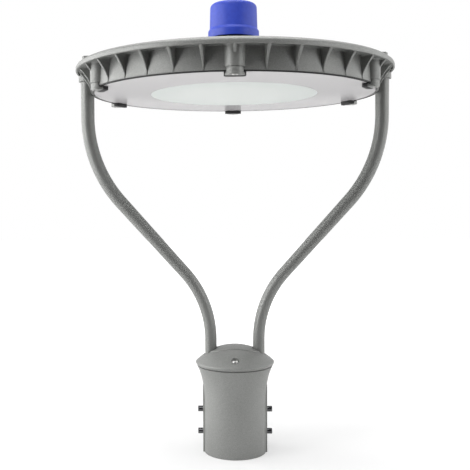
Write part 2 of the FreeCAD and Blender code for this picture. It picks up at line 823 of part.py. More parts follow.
X_WAY = Rotation(Vector(0, 1, 0), 90)
BOSS_TURN = size("boss_turn")
CLIP_ANGLES = [0, BOSS_TURN, 180 - BOSS_TURN, 180, 180 + BOSS_TURN, -BOSS_TURN]



def pan_head_screw(name, head_r, head_high, shank_r, shank_long, recess, reach, seat, up=False):
    """Screw at a reach towards -Y, its head's seat at a height; up means that it points up."""
    flip = Rotation(Vector(1, 0, 0), 180)
    turn = Rotation() if up else flip
    shank = rod(name + "_shank", shank_r, shank_long, "0", "-" + reach, seat, turn)
    head = rod(name + "_head", head_r, head_high, "0", "-" + reach, seat, flip if up else None)
    socket = prism(name + "_socket", recess, head_high, "0", "-" + reach, seat, flip if up else None)
    share = -0.4 if up else 0.4
    socket.setExpression("Placement.Base.z", "%s + %s * %s" % (cell(seat), share, cell(head_high)))
    return less(name, joined(name + "_whole", [shank, head]), socket)


# Collar that slips over the pole, cast in one piece

def pole_collar():
    body = new_body("pole_collar_body")
    wall = new_sketch(body, "collar_wall_line")
    outline(wall, [
        ("bore_mouth_r", "0"),
        ("collar_r", "0"),
        ("collar_r", "flare_start", "flare_r", 1),
        ("flare_top_r", "collar_height"),
        ("cavity_top_r", "collar_height", "flare_in_r", -1),
        ("cavity_floor_r", "cavity_floor"),
        ("window_r", "cavity_floor"),
        ("window_r", "pole_stop"),
        ("bore_r", "pole_stop"),
        ("bore_r", "bore_lead"),
    ])
    turned(body, wall)
    feet = [("arm_foot_x", "0"), ("-arm_foot_x", "0")]
    sockets = new_sketch(body, "foot_sockets", "XY_Plane", "cavity_floor")
    rounds(sockets, feet, "foot_socket_r")
    raised(body, sockets, "foot_socket_high")
    screws = [("0", "lid_screw_reach"), ("0", "-lid_screw_reach")]
    bosses = new_sketch(body, "lid_bosses", "XY_Plane", "lid_boss_low")
    rounds(bosses, screws, "lid_boss_r")
    raised(body, bosses, "lid_boss_high")
    bores = new_sketch(body, "foot_bores", "XY_Plane", "foot_socket_top")
    rounds(bores, feet, "foot_bore_r")
    cut(body, bores, "foot_bore_deep")
    wires = new_sketch(body, "foot_wire_ways", "XY_Plane", "arm_foot_z")
    rounds(wires, feet, "foot_wire_r")
    cut(body, wires, "foot_wire_deep")
    threads = new_sketch(body, "lid_threads", "XY_Plane", "collar_height")
    rounds(threads, screws, "lid_screw_hole_r")
    cut(body, threads, "lid_boss_high")
    clamps = new_sketch(body, "set_screw_holes", "YZ_Plane")
    rounds(clamps, [("0", "set_screw_low"), ("0", "set_screw_high")], "set_hole_r")
    cut(body, clamps, "across_collar", both=True)
    grubs = new_sketch(body, "grub_holes", "YZ_Plane")
    rounds(grubs, [("0", "grub_z")], "grub_hole_r")
    cut(body, grubs, "grub_cut", both=True)
    return part(body, "pole_collar")


def set_screws():
    shank = rod("set_shank", "set_screw_r", "set_screw_long", "set_screw_tip", "0", "set_screw_low", X_WAY)
    key = prism("set_key", "set_key_r", "set_screw_r",
                "set_key_x", "0",
                "set_screw_low", X_WAY)
    form = less("set_screw_form", shank, key)
    rise = Vector(0, 0, size("set_screw_high") - size("set_screw_low"))
    screws = []
    for side, angle in (("right", 0), ("left", 180)):
        for level, lift in (("low", Vector()), ("high", rise)):
            screws.append(copy_of(form, "set_%s_%s" % (side, level), lift, about_z(angle)))
    return part(group("set_screws_group", screws), "set_screws")


# Lid over the collar, a cast dome with holes for the arms

def collar_lid():
    body = new_body("collar_lid_shell")
    line = new_sketch(body, "lid_line")
    outline(line, [
        ("lid_in_r", "collar_height"),
        ("lid_seat_r", "collar_height"),
        ("lid_seat_r", "lid_low"),
        ("lid_foot_r", "lid_low"),
        ("lid_r", "lid_edge"),
        ("lid_crown_r", "lid_crown", "lid_dome_r", -1),
        ("0", "lid_top"),
        ("0", "lid_in_top", "lid_in_dome_r", 1),
        ("lid_in_r", "lid_in_low"),
    ])
    shell = turned(body, line)
    softened(body, shell, [("lid_r", "lid_edge")], "Fillet", Radius="lid_edge_round")
    screws = [("0", "lid_screw_reach"), ("0", "-lid_screw_reach")]
    bosses = new_sketch(body, "lid_screw_bosses", "XY_Plane", "collar_height")
    rounds(bosses, screws, "lid_boss_out_r")
    raised(body, bosses, "lid_screw_sink")
    oval = solid("Ellipse", "pad_oval", z="lid_pad_low",
                 MajorRadius="lid_pad_long", MinorRadius="lid_pad_wide")
    slab = doc.addObject("Part::Extrusion", "pad_slab")
    slab.Base = oval
    slab.Solid = True
    slab.DirMode = "Custom"
    slab.Dir = Vector(0, 0, 1)
    bind(slab, LengthFwd="lid_pad_run")
    dome = solid("Sphere", "pad_dome", z="lid_dome_z", Radius="lid_pad_dome_r")
    cap = doc.addObject("Part::Common", "pad_cap")
    cap.Base = slab
    cap.Tool = dome
    hollow = solid("Sphere", "pad_hollow", z="lid_in_dome_z", Radius="lid_in_dome_r")
    raised_pad = less("raised_pad", cap, hollow)
    tools = []
    for side in ("", "-"):
        name = "near" if side else "far"
        y = side + "lid_screw_reach"
        tools.append(rod("lid_sink_" + name, "lid_sink_r", "lid_apex", "0", y, "lid_screw_seat"))
        tools.append(rod("lid_clear_" + name, "lid_screw_clear_r", "lid_apex", "0", y, "lid_boss_low"))
        x = side + "arm_foot_x"
        tools.append(rod("lid_arm_" + name, "lid_arm_r", "lid_dome_r", x, "0", "cavity_floor"))
    whole = joined("lid_whole", [body, raised_pad])
    return part(less("collar_lid_cut", whole, joined("lid_tools", tools)), "collar_lid")


def lid_screws():
    key = "lid_key_r"
    form = pan_head_screw("lid_screw_form", "lid_screw_head_r", "lid_screw_head_high", "lid_screw_r",
                          "lid_screw_long", key, "lid_screw_reach", "lid_screw_seat")
    return part(ring_of(form, "lid_screws_ring", [0, 180]), "lid_screws")


# Arms: a bent tube that grows a little from foot to head

def arm_core(name, foot, low, high, head):
    """Solid in the shape of the right arm, with the four radii that its straights run between."""
    lean = math.radians(size("arm_lean"))
    along = Vector(math.sin(lean), 0, math.cos(lean))
    outward = Vector(math.cos(lean), 0, -math.sin(lean))
    up = Vector(0, 0, 1)
    first = solid("Cone", name + "_foot", "arm_foot_x", "0", "arm_foot_z",
                  Radius1=foot, Radius2=low, Height="foot_run")
    bend = solid("Torus", name + "_low_bend", "low_centre_x", "0", "low_start_z",
                 Rotation(Vector(-1, 0, 0), up, Vector(0, 1, 0), "ZXY"),
                 Radius1="arm_bend_low", Radius2=low, Angle3="arm_lean")
    slope = solid("Cone", name + "_slope", "slope_x", "0", "slope_z",
                  Rotation(Vector(0, 1, 0), size("arm_lean")),
                  Radius1=low, Radius2=high, Height="slope_run")
    back = solid("Torus", name + "_high_bend", "high_centre_x", "0", "high_end_z",
                 Rotation(outward, along, Vector(0, -1, 0), "ZXY"),
                 Radius1="arm_bend_high", Radius2=high, Angle3="arm_lean")
    last = solid("Cone", name + "_head", "arm_head_x", "0", "high_end_z",
                 Radius1=high, Radius2=head, Height="head_run")
    return joined(name, [first, bend, slope, back, last])


def arms():
    outside = arm_core("arm_outside", "foot_r", "low_r", "high_r", "head_r")
    inside = arm_core("arm_inside", "foot_in_r", "low_in_r", "high_in_r", "head_in_r")
    tube = less("arm_tube", outside, inside)
    way = rod("arm_wire_way", "wire_r", "wire_run", "wire_start", "0", "wire_z", X_WAY)
    right = part(less("arm_right_cut", tube, way), "arm_right")
    left = doc.addObject("Part::Mirroring", "arm_left_mirror")
    left.Source = right
    left.Normal = Vector(1, 0, 0)
    part(left, "arm_left")


def arm_fixings():
    grub = rod("grub_shank", "grub_r", "grub_long", "grub_start", "0",
               "grub_z", X_WAY)
    key = prism("grub_key", "grub_key_r", "grub_r",
                "grub_key_x", "0", "grub_z", X_WAY)
    part(ring_of(less("grub_form", grub, key), "grub_ring", [0, 180]), "arm_grub_screws")
    stem = rod("plug_stem", "plug_r", "plug_high", "arm_head_x", "0", "plug_low")
    flange = rod("plug_cap", "plug_flange_r", "plug_flange", "arm_head_x", "0", "arm_top")
    thread = rod("plug_thread", "arm_bolt_hole_r", "plug_high", "arm_head_x", "0", "plug_low")
    plug = less("plug_form", joined("plug_whole", [stem, flange]), thread)
    part(ring_of(plug, "plug_ring", [0, 180]), "arm_end_plugs")
    disc = rod("washer_disc", "arm_washer_r", "arm_washer_thick", "arm_head_x", "0", "socket_top_z")
    eye = rod("washer_eye", "arm_bolt_clear_r", "arm_washer_thick", "arm_head_x", "0", "socket_top_z")
    part(ring_of(less("washer_form", disc, eye), "washer_ring", [0, 180]), "arm_washers")
    shank = rod("arm_bolt_shank", "arm_bolt_r", "arm_bolt_run", "arm_head_x", "0", "bolt_tip_z")
    head = prism("arm_bolt_hex", "arm_bolt_head_r", "arm_bolt_head_high", "arm_head_x", "0", "bolt_seat_z")
    part(ring_of(joined("arm_bolt_form", [shank, head]), "arm_bolt_ring", [0, 180]), "arm_bolts")


# Head casting: finned drum, rim, deck with ribs, driver chamber and arm sockets in one piece

def six(x, y, reach):
    """Spots of the six clip bosses, as cells: near, far and two on each side."""
    return [("0", "-" + reach), ("0", reach), (x, "-" + y), (x, y), ("-" + x, "-" + y), ("-" + x, y)]


def four(x, y):
    """Corners of a rectangle round the axis, as cells."""
    return [(x, y), (x, "-" + y), ("-" + x, y), ("-" + x, "-" + y)]


# the board's screws stand on a ring of six, two of them on the X axis
BOARD_SPOTS = four("board_screw_x", "board_screw_y")
BOARD_SPOTS += [("board_screw_reach", "0"), ("-board_screw_reach", "0")]


def casting_core():
    """Drum, rim, deck and driver chamber, with the bosses and sockets on them and the holes in those."""
    body = new_body("casting_core_body")
    line = new_sketch(body, "casting_line")
    outline(line, [
        ("recess_r", "foot_z"),
        ("lip_r", "foot_z"),
        ("lip_r", "lip_top"),
        ("drum_foot_r", "drum_foot_z"),
        ("drum_top_r", "deck_under"),
        ("rim_in_r", "deck_under"),
        ("rim_in_r", "rim_under"),
        ("rim_r", "rim_under"),
        ("rim_r", "rim_side_z", "rim_round", -1),
        ("rim_top_r", "rim_top_z"),
        ("crown_r", "crown_z"),
        ("housing_r", "deck_z"),
        ("housing_top_r", "housing_z"),
        ("housing_in_r", "housing_z"),
        ("housing_in_r", "floor_z"),
        ("0", "floor_z"),
        ("0", "floor_low"),
        ("pan_r", "floor_low"),
        ("pan_r", "deck_in_low"),
        ("wall_in_r", "deck_out_low"),
        ("wall_in_r", "ledge_top"),
        ("ledge_r", "ledge_top"),
        ("ledge_r", "recess_top"),
        ("recess_r", "recess_top"),
    ])
    turned(body, line)
    bosses = new_sketch(body, "clip_bosses", "XY_Plane", "boss_low_z")
    rounds(bosses, six("boss_x", "boss_y", "boss_reach"), "boss_r")
    raised(body, bosses, "boss_run")
    arms_at = [("arm_head_x", "0"), ("-arm_head_x", "0")]
    sockets = new_sketch(body, "arm_sockets", "XY_Plane", "head_socket_z")
    rounds(sockets, arms_at, "head_socket_r")
    raised(body, sockets, "head_socket_run")
    posts = new_sketch(body, "cover_posts", "XY_Plane", "floor_z")
    rounds(posts, [("0", "-cover_screw_reach")], "cover_boss_r")
    repeated(body, raised(body, posts, "cover_boss_run"), "cover_screw_count")
    taps = new_sketch(body, "cover_taps", "XY_Plane", "housing_z")
    rounds(taps, [("0", "-cover_screw_reach")], "cover_hole_r")
    repeated(body, cut(body, taps, "cover_tap_deep"), "cover_screw_count")
    driver_taps = new_sketch(body, "driver_taps", "XY_Plane", "floor_z")
    rounds(driver_taps, four("driver_ear_x", "driver_screw_y"), "driver_hole_r")
    cut(body, driver_taps, "driver_tap_deep")
    board_taps = new_sketch(body, "board_taps", "XY_Plane", "floor_low")
    rounds(board_taps, BOARD_SPOTS, "board_hole_r")
    cut(body, board_taps, "board_tap_deep", up=True)
    wire_ports = new_sketch(body, "floor_ports", "XY_Plane", "floor_z")
    rounds(wire_ports, [("grommet_reach", "0"), ("-grommet_reach", "0")], "grommet_r")
    cut(body, wire_ports, "floor_cut")
    recess = new_sketch(body, "glass_recess", "XY_Plane", "head_base")
    rounds(recess, [("0", "0")], "recess_r")
    cut(body, recess, "recess_deep", up=True)
    bores = new_sketch(body, "arm_bores", "XY_Plane", "head_socket_z")
    rounds(bores, arms_at, "head_bore_r")
    cut(body, bores, "head_bore_deep", up=True)
    scallops = new_sketch(body, "arm_scallops", "XY_Plane", "scallop_start")
    rounds(scallops, arms_at, "scallop_r")
    cut(body, scallops, "scallop_run", up=True)
    bolts = new_sketch(body, "arm_bolt_holes", "XY_Plane", "socket_top_z")
    rounds(bolts, arms_at, "arm_bolt_clear_r")
    cut(body, bolts, "roof_cut")
    for side in ("", "-"):
        way = new_sketch(body, "wire_way_left" if side else "wire_way_right", "YZ_Plane", side + "wire_start")
        rounds(way, [("0", "wire_z")], "wire_r")
        cut(body, way, "wire_run", up=not side)
    clip_holes(body)
    return body


def clip_holes(body):
    holes = new_sketch(body, body.Name + "_clip_holes", "XY_Plane", "boss_low_z")
    rounds(holes, six("clip_x", "clip_y", "clip_screw_reach"), "clip_hole_r")
    cut(body, holes, "clip_hole_deep", up=True)


def cooling_fins():
    """Drafted strips that hang from the deck, then one cut that gives all of them their hollow edge."""
    body = new_body("cooling_fins_body")
    strip = new_sketch(body, "fin_strip", "XY_Plane", "fin_start")
    outline(strip, [("-fin_half", "-fin_tip"), ("fin_half", "-fin_tip"),
                    ("fin_half", "-fin_root"), ("-fin_half", "-fin_root")])
    repeated(body, raised(body, strip, "fin_run", down=True, taper="-fin_draft"), "fin_count")
    edge = new_sketch(body, "fin_edge")
    outline(edge, [
        ("lip_r", "lip_top", "fin_edge_bend", 1),
        ("fin_top_r", "rim_under"),
        ("fin_cut_r", "rim_under"),
        ("fin_cut_r", "fin_cut_low"),
        ("lip_r", "fin_cut_low"),
    ])
    turned(body, edge, "Groove")
    clip_holes(body)
    return body


def deck_ribs():
    """Low ribs on the deck, from the driver chamber outwards until they run out in the deck's slope."""
    body = new_body("deck_ribs_body")
    line = new_sketch(body, "deck_rib")
    outline(line, [("rib_in_r", "rib_in_low"), ("rib_out_r", "rib_out_low"),
                   ("rib_out_r", "rib_out_top"), ("rib_in_r", "rib_in_top")])
    repeated(body, raised(body, line, "rib_thick", both=True), "fin_count")
    return body


def heat_sink():
    whole = joined("heat_sink_casting", [casting_core(), cooling_fins(), deck_ribs()])
    return part(whole, "heat_sink")


# Glass, its seal and the six clips that hold it

def glass_set():
    part(rod("glass_disc", "glass_r", "glass_thick", z="head_base"), "cover_glass")
    outer = rod("seal_disc", "seal_r", "seal_high", z="seal_low")
    pocket = rod("seal_pocket", "seal_in_r", "glass_thick", z="head_base")
    inner = rod("seal_eye", "ledge_r", "seal_high", z="seal_low")
    part(less("glass_seal_cut", outer, joined("seal_hollow", [pocket, inner])), "glass_seal")


def clips():
    heel = rod("clip_heel", "clip_heel_r", "clip_heel_run", "0", "-boss_reach", "clip_low")
    drum = rod("clip_drum", "clip_cut_r", "clip_cut_run", z="clip_top")
    step = less("clip_step", heel, drum)
    tongue = block("clip_tongue", "clip_tongue_wide", "clip_tongue_run", "clip_thick",
                   "-clip_tongue_half", "-boss_reach", "clip_low")
    doc.recompute()
    upright = []
    for number, edge in enumerate(tongue.Shape.Edges, start=1):
        ends = [v.Point for v in edge.Vertexes]
        if abs(ends[0].z - ends[1].z) > 1 and ends[0].y > size("-boss_reach") + 1:
            upright.append((number, size("clip_tongue_round"), size("clip_tongue_round")))
    nose = doc.addObject("Part::Fillet", "clip_nose")
    nose.Base = tongue
    nose.Edges = upright
    hole = rod("clip_hole", "clip_hole_r", "clip_screw_long", "0", "-clip_screw_reach", "clip_low")
    sink = rod("clip_sink", "clip_sink_r", "clip_screw_sink", "0", "-clip_screw_reach", "clip_low")
    trim = block("clip_trim", "clip_tongue_wide", "clip_heel_dia", "clip_heel_run",
                 "-clip_tongue_half", "-clip_tongue_tip", "clip_low")
    form = less("clip_form", joined("clip_whole", [step, nose]), joined("clip_tools", [hole, sink, trim]))
    for number, angle in enumerate(CLIP_ANGLES, start=1):
        part(copy_of(form, "clip_copy_%d" % number, Vector(), about_z(angle)), "cover_clip_%d" % number)
    pad = block("pad_block", "pad_wide", "pad_run", "clip_pad_thick",
                "-pad_half", "pad_y", "clip_top")
    end = block("pad_end", "pad_wide", "pad_end_thick", "pad_end_high",
                "-pad_half", "pad_end_y", "pad_end_low")
    part(ring_of(joined("pad_form", [pad, end]), "pad_ring", CLIP_ANGLES), "clip_pads")
    key = "clip_key_r"
    screw = pan_head_screw("clip_screw_form", "clip_head_r", "clip_screw_head_high", "clip_screw_r",
                           "clip_screw_long", key, "clip_screw_reach", "clip_sink_z", up=True)
    part(ring_of(screw, "clip_screw_ring", CLIP_ANGLES), "clip_screws")


# Light engine under the floor of the driver chamber

def light_engine():
    plate = rod("board_disc", "board_r", "board_thick", z="board_low")
    drills = []
    for x, y in BOARD_SPOTS:
        drill = rod("board_drill_%d" % (len(drills) + 1), "board_drill_r", "board_thick", x, y, "board_low")
        drills.append(drill)
    part(less("board_cut", plate, joined("board_drills", drills)), "led_board")
    half = "led_half"
    form = block("led_block", "led_side", "led_side", "led_high", "-" + half, "-" + half, "led_low")
    packages = []
    first = int(size("led_ring_first"))
    for ring in (1, 2, 3):
        count = first * ring
        for k in range(count):
            angle = 360.0 * k / count
            spot = about_z(angle).multVec(Vector(0, -size("led_ring_step") * ring, 0))
            packages.append(copy_of(form, "led_%d_%d" % (ring, k + 1), spot, about_z(angle)))
    part(group("led_group", packages), "led_packages")
    key = "board_key_r"
    screw = pan_head_screw("board_screw_form", "board_head_r", "board_head_high",
                           "board_screw_r", "board_screw_long", key, "board_screw_reach",
                           "board_head_low", up=True)
    part(ring_of(screw, "board_screw_ring", range(30, 390, 60)), "board_screws")
    body = new_body("reflector_body")
    line = new_sketch(body, "reflector_line")
    outline(line, [
        ("reflector_in_r", "reflector_top_low"),
        ("reflector_top_in", "reflector_top_low"),
        ("reflector_mouth_in", "reflector_low"),
        ("reflector_out_r", "reflector_low"),
        ("reflector_out_r", "reflector_low_top"),
        ("reflector_mouth_r", "reflector_low_top"),
        ("reflector_top_r", "board_low"),
        ("reflector_in_r", "board_low"),
    ])
    turned(body, line)
    holes = new_sketch(body, "reflector_holes", "XY_Plane", "board_low")
    rounds(holes, BOARD_SPOTS, "board_drill_r")
    cut(body, holes, "reflector_cut")
    part(body, "reflector")


# What stands in the driver chamber

def driver_set():
    case = block("driver_case", "driver_long", "driver_wide", "driver_high",
                 "-driver_half", "driver_y", "floor_z")
    doc.recompute()
    upright = []
    for number, edge in enumerate(case.Shape.Edges, start=1):
        ends = [v.Point for v in edge.Vertexes]
        if abs(ends[0].z - ends[1].z) > 1:
            upright.append((number, size("driver_round"), size("driver_round")))
    rounded = doc.addObject("Part::Fillet", "driver_rounded")
    rounded.Base = case
    rounded.Edges = upright
    foot = block("driver_foot", "driver_foot_long", "driver_wide",
                 "driver_ear_thick", "-driver_ears_half", "driver_y", "floor_z")
    holes = []
    for x in ("driver_ear_x", "-driver_ear_x"):
        for y in ("driver_screw_y", "-driver_screw_y"):
            holes.append(rod("driver_hole_%d" % len(holes), "driver_hole_r", "driver_high", x, y, "floor_z"))
    driver = less("driver_cut", joined("driver_whole", [rounded, foot]), joined("driver_holes", holes))
    part(driver, "led_driver")
    screws = []
    seat = "driver_seat"
    for x in ("driver_ear_x", "-driver_ear_x"):
        for y in ("driver_screw_y", "-driver_screw_y"):
            tag = "driver_screw_%d" % (len(screws) + 1)
            shank = rod(tag + "_shank", "driver_screw_r", "driver_screw_long", x, y, "driver_screw_tip")
            head = rod(tag + "_head", "driver_head_r", "driver_screw_head_high", x, y, seat)
            screws.append(joined(tag, [shank, head]))
    part(group("driver_screw_group", screws), "driver_screws")
    stem = rod("grommet_stem", "grommet_stem_r", "grommet_high", "grommet_reach", "0", "grommet_low")
    over = rod("grommet_over", "grommet_flange_r", "grommet_flange", "grommet_reach", "0", "floor_z")
    under = rod("grommet_under", "grommet_flange_r", "grommet_flange", "grommet_reach", "0", "grommet_low")
    bore = rod("grommet_eye", "grommet_in_r", "grommet_high", "grommet_reach", "0", "grommet_low")
    grommet = less("grommet_form", joined("grommet_whole", [stem, over, under]), bore)
    part(ring_of(grommet, "grommet_ring", [0, 180]), "floor_grommets")
    surge = block("surge_block", "surge_long", "surge_wide", "surge_high",
                  "surge_x", "surge_low_y",
                  "floor_z")
    part(surge, "surge_protector")
    ways = []
    base = block("block_base", "block_long", "block_wide", "block_high",
                 "block_x", "block_low_y",
                 "floor_z")
    count = int(size("block_ways"))
    pitch = size("block_long") / count
    well = rod("block_well", "well_r",
               "well_deep", "block_x", "-block_y",
               "well_low")
    for k in range(count):
        ways.append(copy_of(well, "block_way_%d" % (k + 1), Vector(pitch * (k + 0.5), 0, 0)))
    part(less("block_cut", base, group("block_wells", ways)), "terminal_block")


# Cover of the driver chamber, its seal and screws

def cover_set():
    outer = rod("cover_seal_disc", "housing_top_r", "cover_seal_thick", z="housing_z")
    inner = rod("cover_seal_eye", "cover_seal_in", "cover_seal_thick",
                z="housing_z")
    part(less("cover_seal_cut", outer, inner), "cover_seal")
    body = new_body("driver_cover_body")
    line = new_sketch(body, "cover_line")
    outline(line, [
        ("cover_window_r", "cover_in_z"),
        ("cover_in_r", "cover_in_z"),
        ("cover_flat_in", "cover_low"),
        ("housing_top_r", "cover_low"),
        ("housing_top_r", "cover_edge_z"),
        ("cover_flat", "cover_edge_z"),
        ("cover_top_r", "cover_top_z"),
        ("cover_window_r", "cover_top_z"),
    ])
    shell = turned(body, line)
    softened(body, shell, [("housing_top_r", "cover_edge_z")], "Chamfer", Size="cover_bevel")
    holes = new_sketch(body, "cover_holes", "XY_Plane", "cover_edge_z")
    rounds(holes, [("0", "-cover_screw_reach")], "cover_clear_r")
    hole = cut(body, holes, "cover_cut")
    repeated(body, hole, "cover_screw_count")
    part(body, "driver_cover")
    key = "cover_key_r"
    screw = pan_head_screw("cover_screw_form", "cover_head_r", "cover_screw_head_high", "cover_screw_r",
                           "cover_screw_long", key, "cover_screw_reach", "cover_edge_z")
    part(ring_of(screw, "cover_screw_ring", range(0, 360, 60)), "cover_screws")


def sector(name, inner, outer, run, low, start, turn):
    """Upright wall along part of a ring: from the angle start, over the angle turn."""
    tube = solid("Cylinder", name + "_out", z=low, Radius=outer, Height=run)
    tube.Angle = turn
    tube.Placement = Placement(Vector(0, 0, size(low)), about_z(start))
    core = solid("Cylinder", name + "_in", z=low, Radius=inner, Height=run)
    return less(name, tube, core)


def blade_set(name, inner, outer, run, low, before=0.0, after=0.0):
    """The three blades, or the slots for them, with room before and after each."""
    made = []
    for number, key in enumerate(("blade_turn_wide", "blade_turn", "blade_turn"), start=1):
        start = 120 * number - 90 - size(key) / 2 - before
        turn = size(key) + before + after
        made.append(sector("%s_%d" % (name, number), inner, outer, run, low, start, turn))
    return made


def socket_set():
    outer = rod("socket_seal_disc", "socket_flange_r", "socket_seal_thick", z="cover_top_z")
    inner = rod("socket_seal_eye", "cover_window_r", "socket_seal_thick", z="cover_top_z")
    part(less("socket_seal_cut", outer, inner), "socket_seal")
    body = new_body("cap_socket_body")
    line = new_sketch(body, "socket_line")
    outline(line, [
        ("0", "socket_body_z"),
        ("socket_body_r", "socket_body_z"),
        ("socket_body_r", "socket_low"),
        ("socket_flange_r", "socket_low"),
        ("socket_flange_r", "socket_flange_z"),
        ("socket_face_r", "socket_flange_z"),
        ("socket_face_r", "socket_face_z"),
        ("0", "socket_face_z"),
    ])
    turned(body, line)
    play = size("slot_play_turn")
    slots = blade_set("socket_slot", "slot_in_r", "slot_out_r", "slot_run", "slot_low", play,
                      size("cap_turn") + play)
    part(less("cap_socket_cut", body, joined("socket_slots", slots)), "cap_socket")
    seal = rod("face_seal_disc", "socket_face_r", "face_seal_thick", z="socket_face_z")
    eye = rod("face_seal_eye", "face_seal_in", "face_seal_thick", z="socket_face_z")
    part(less("face_seal_cut", seal, eye), "face_seal")
    half = "tab_half"
    tab = block("tab_block", "tab_wide", "tab_thick", "tab_long", "-" + half,
                "tab_y", "tab_low")
    part(ring_of(tab, "tab_ring", [0, 120, 240]), "socket_tabs")


def shorting_cap():
    body = new_body("shorting_cap_body")
    line = new_sketch(body, "cap_line")
    outline(line, [
        ("cap_skirt_in", "cap_low"),
        ("cap_skirt_r", "cap_low"),
        ("cap_skirt_r", "cap_skirt_z"),
        ("cap_neck_r", "cap_neck_z"),
        ("cap_top_r", "cap_top_z"),
        ("0", "cap_top_z"),
        ("0", "cap_roof_z"),
        ("cap_top_in", "cap_roof_z"),
        ("cap_neck_in", "cap_ledge_z"),
        ("cap_skirt_in", "cap_ledge_z"),
    ])
    shell = turned(body, line)
    softened(body, shell, [("cap_top_r", "cap_top_z")], "Fillet", Radius="cap_round")
    part(body, "shorting_cap_shell")
    blades = blade_set("blade", "blade_in_r", "blade_out_r", "blade_run", "blade_tip_z")
    part(group("blade_group", blades), "contact_blades")
    disc = rod("cap_base_disc", "cap_base_r", "cap_base_thick", z="cap_base_z")
    part(less("cap_base_cut", disc, joined("base_slots", blades)), "shorting_cap_base")
    link = rod("link_disc", "link_out_r", "link_thick", z="blade_top_z")
    eye = rod("link_eye", "link_in_r", "link_thick", z="blade_top_z")
    part(less("link_cut", link, eye), "shorting_link")


pole_collar()
set_screws()
collar_lid()
lid_screws()
arms()
arm_fixings()
heat_sink()
glass_set()
clips()
light_engine()
driver_set()
cover_set()
socket_set()
shorting_cap()
doc.recompute()

for thing in doc.Objects:
    if "Invalid" in thing.State or "Error" in thing.State:
        raise RuntimeError("%s failed: %s" % (thing.Name, thing.State))

os.makedirs("parts", exist_ok=True)
for piece in pieces:
    shape = piece.Shape
    if shape.isNull() or not shape.isValid() or not shape.Solids:
        raise RuntimeError("%s has no valid solid" % piece.Label)
    shape.exportStep("parts/%s.step" % piece.Label)
print("wrote %d parts" % len(pieces))
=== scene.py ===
"""LED street light head on two bent arms, standing on its pole collar in a white studio.

Sizes are written in millimetres and turned to metres where a mesh is made. The origin is the
centre of the collar's bottom ring, +Z is up and -Y is the side that faces the camera.
"""
import json
import math

import bmesh
import bpy
from mathutils import Matrix, Vector


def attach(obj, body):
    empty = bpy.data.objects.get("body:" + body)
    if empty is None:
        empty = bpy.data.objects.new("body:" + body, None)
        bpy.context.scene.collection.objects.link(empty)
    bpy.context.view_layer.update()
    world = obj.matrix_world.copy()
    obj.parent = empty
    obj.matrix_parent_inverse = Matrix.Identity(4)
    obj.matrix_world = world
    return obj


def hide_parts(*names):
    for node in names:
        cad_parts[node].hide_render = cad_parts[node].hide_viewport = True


MM = 0.001
TURN = 2 * math.pi
SIDES = (-1, 1)
WHITE = "FFFFFF"

# collar and lid
BORE_R = 40
COLLAR_R = 43.5
COLLAR_TOP = 122.5
FLARE_LOW = 72
SET_SCREW_LEVELS = (28.5, 60)
LID_TOP = 150.3
LID_DOME_R = 79.2
LID_INNER_TOP = 147.1
LID_INNER_R = 71.6
LID_ARM_HOLE_R = 9.8
LID_SCREW_Y = 43.5
PAD_POINTS = 96

# arms: middle of the foot and of the head, the corner of the slope, and the bends' radii
FOOT_X = 33.7
ARM_X = 204.3
ARM_LEAN = math.radians(41.9)
ARM_CORNER = 212.6
LOW_BEND = 140
HIGH_BEND = 178
ARM_FOOT = 103.0
ARM_TOP = 543.0
FOOT_R = 8.0
LOW_R = 8.2
HIGH_R = 9.2
HEAD_R = 9.5
TUBE_POINTS = 56

# head casting, with the circle on which the clip bosses stand
FIN_COUNT = 34
FIN_STEP = TURN / FIN_COUNT
FIN_FOOT = 501.8
# the glass clips sit under these fins, counted from the one that faces the camera
CLIP_FINS = (0, 6, 11, 17, 23, 28)
CLIP_R = 193.5
CLIP_HEEL_R = 10.8
CLIP_LOW = 496.0
SOCKET_TOP = 549.0
HOUSING_TOP = 550.0

# glass, driver cover and cap
GLASS_R = 192.5
GLASS_LOW = 500.3
GLASS_TOP = 504.3
BORDER_R = 114
COVER_SCREWS = 6
COVER_SCREW_R = 101.5
CAP_TOP = 624.3

# name, place, target, width and height in metres, power in watts
SOFTBOXES = (
    ("left_softbox", (-1.4, -0.75, 0.7), (0, 0, 0.4), 0.7, 1.2, 18),
    ("right_softbox", (1.4, -0.75, 0.7), (0, 0, 0.4), 0.7, 1.2, 9),
    ("left_rear_softbox", (-1.4, 0.35, 0.6), (0, 0, 0.35), 0.8, 1.4, 14),
    ("right_rear_softbox", (1.4, 0.35, 0.6), (0, 0, 0.35), 0.8, 1.4, 6),
    ("top_softbox", (0, 0.1, 1.9), (0, 0, 0.5), 1.4, 1.2, 18),
    ("front_softbox", (-0.2, -1.25, 2.0), (0, 0, 0.4), 1.2, 0.8, 16),
)


# Materials

def hex_colour(code):
    """Linear colour from an sRGB hex code such as 8C8D8A."""
    parts = [int(code[i:i + 2], 16) / 255 for i in (0, 2, 4)]
    linear = [c / 12.92 if c <= 0.04045 else ((c + 0.055) / 1.055) ** 2.4 for c in parts]
    return linear + [1.0]


def add_node(tree, kind, settings=None, values=None, links=None):
    """Adds a node, sets its properties and sockets, and links other outputs to its inputs."""
    node = tree.nodes.new(kind)
    for name, value in (settings or {}).items():
        setattr(node, name, value)
    for socket, value in (values or {}).items():
        node.inputs[socket].default_value = value
    for socket, source in (links or {}).items():
        tree.links.new(source, node.inputs[socket])
    return node


def maths(tree, operation, *parts):
    """Result of one operation on sockets and plain numbers."""
    numbers = {i: part for i, part in enumerate(parts) if isinstance(part, float)}
    sockets = {i: part for i, part in enumerate(parts) if not isinstance(part, float)}
    node = add_node(tree, "ShaderNodeMath", {"operation": operation}, numbers, sockets)
    return node.outputs["Value"]


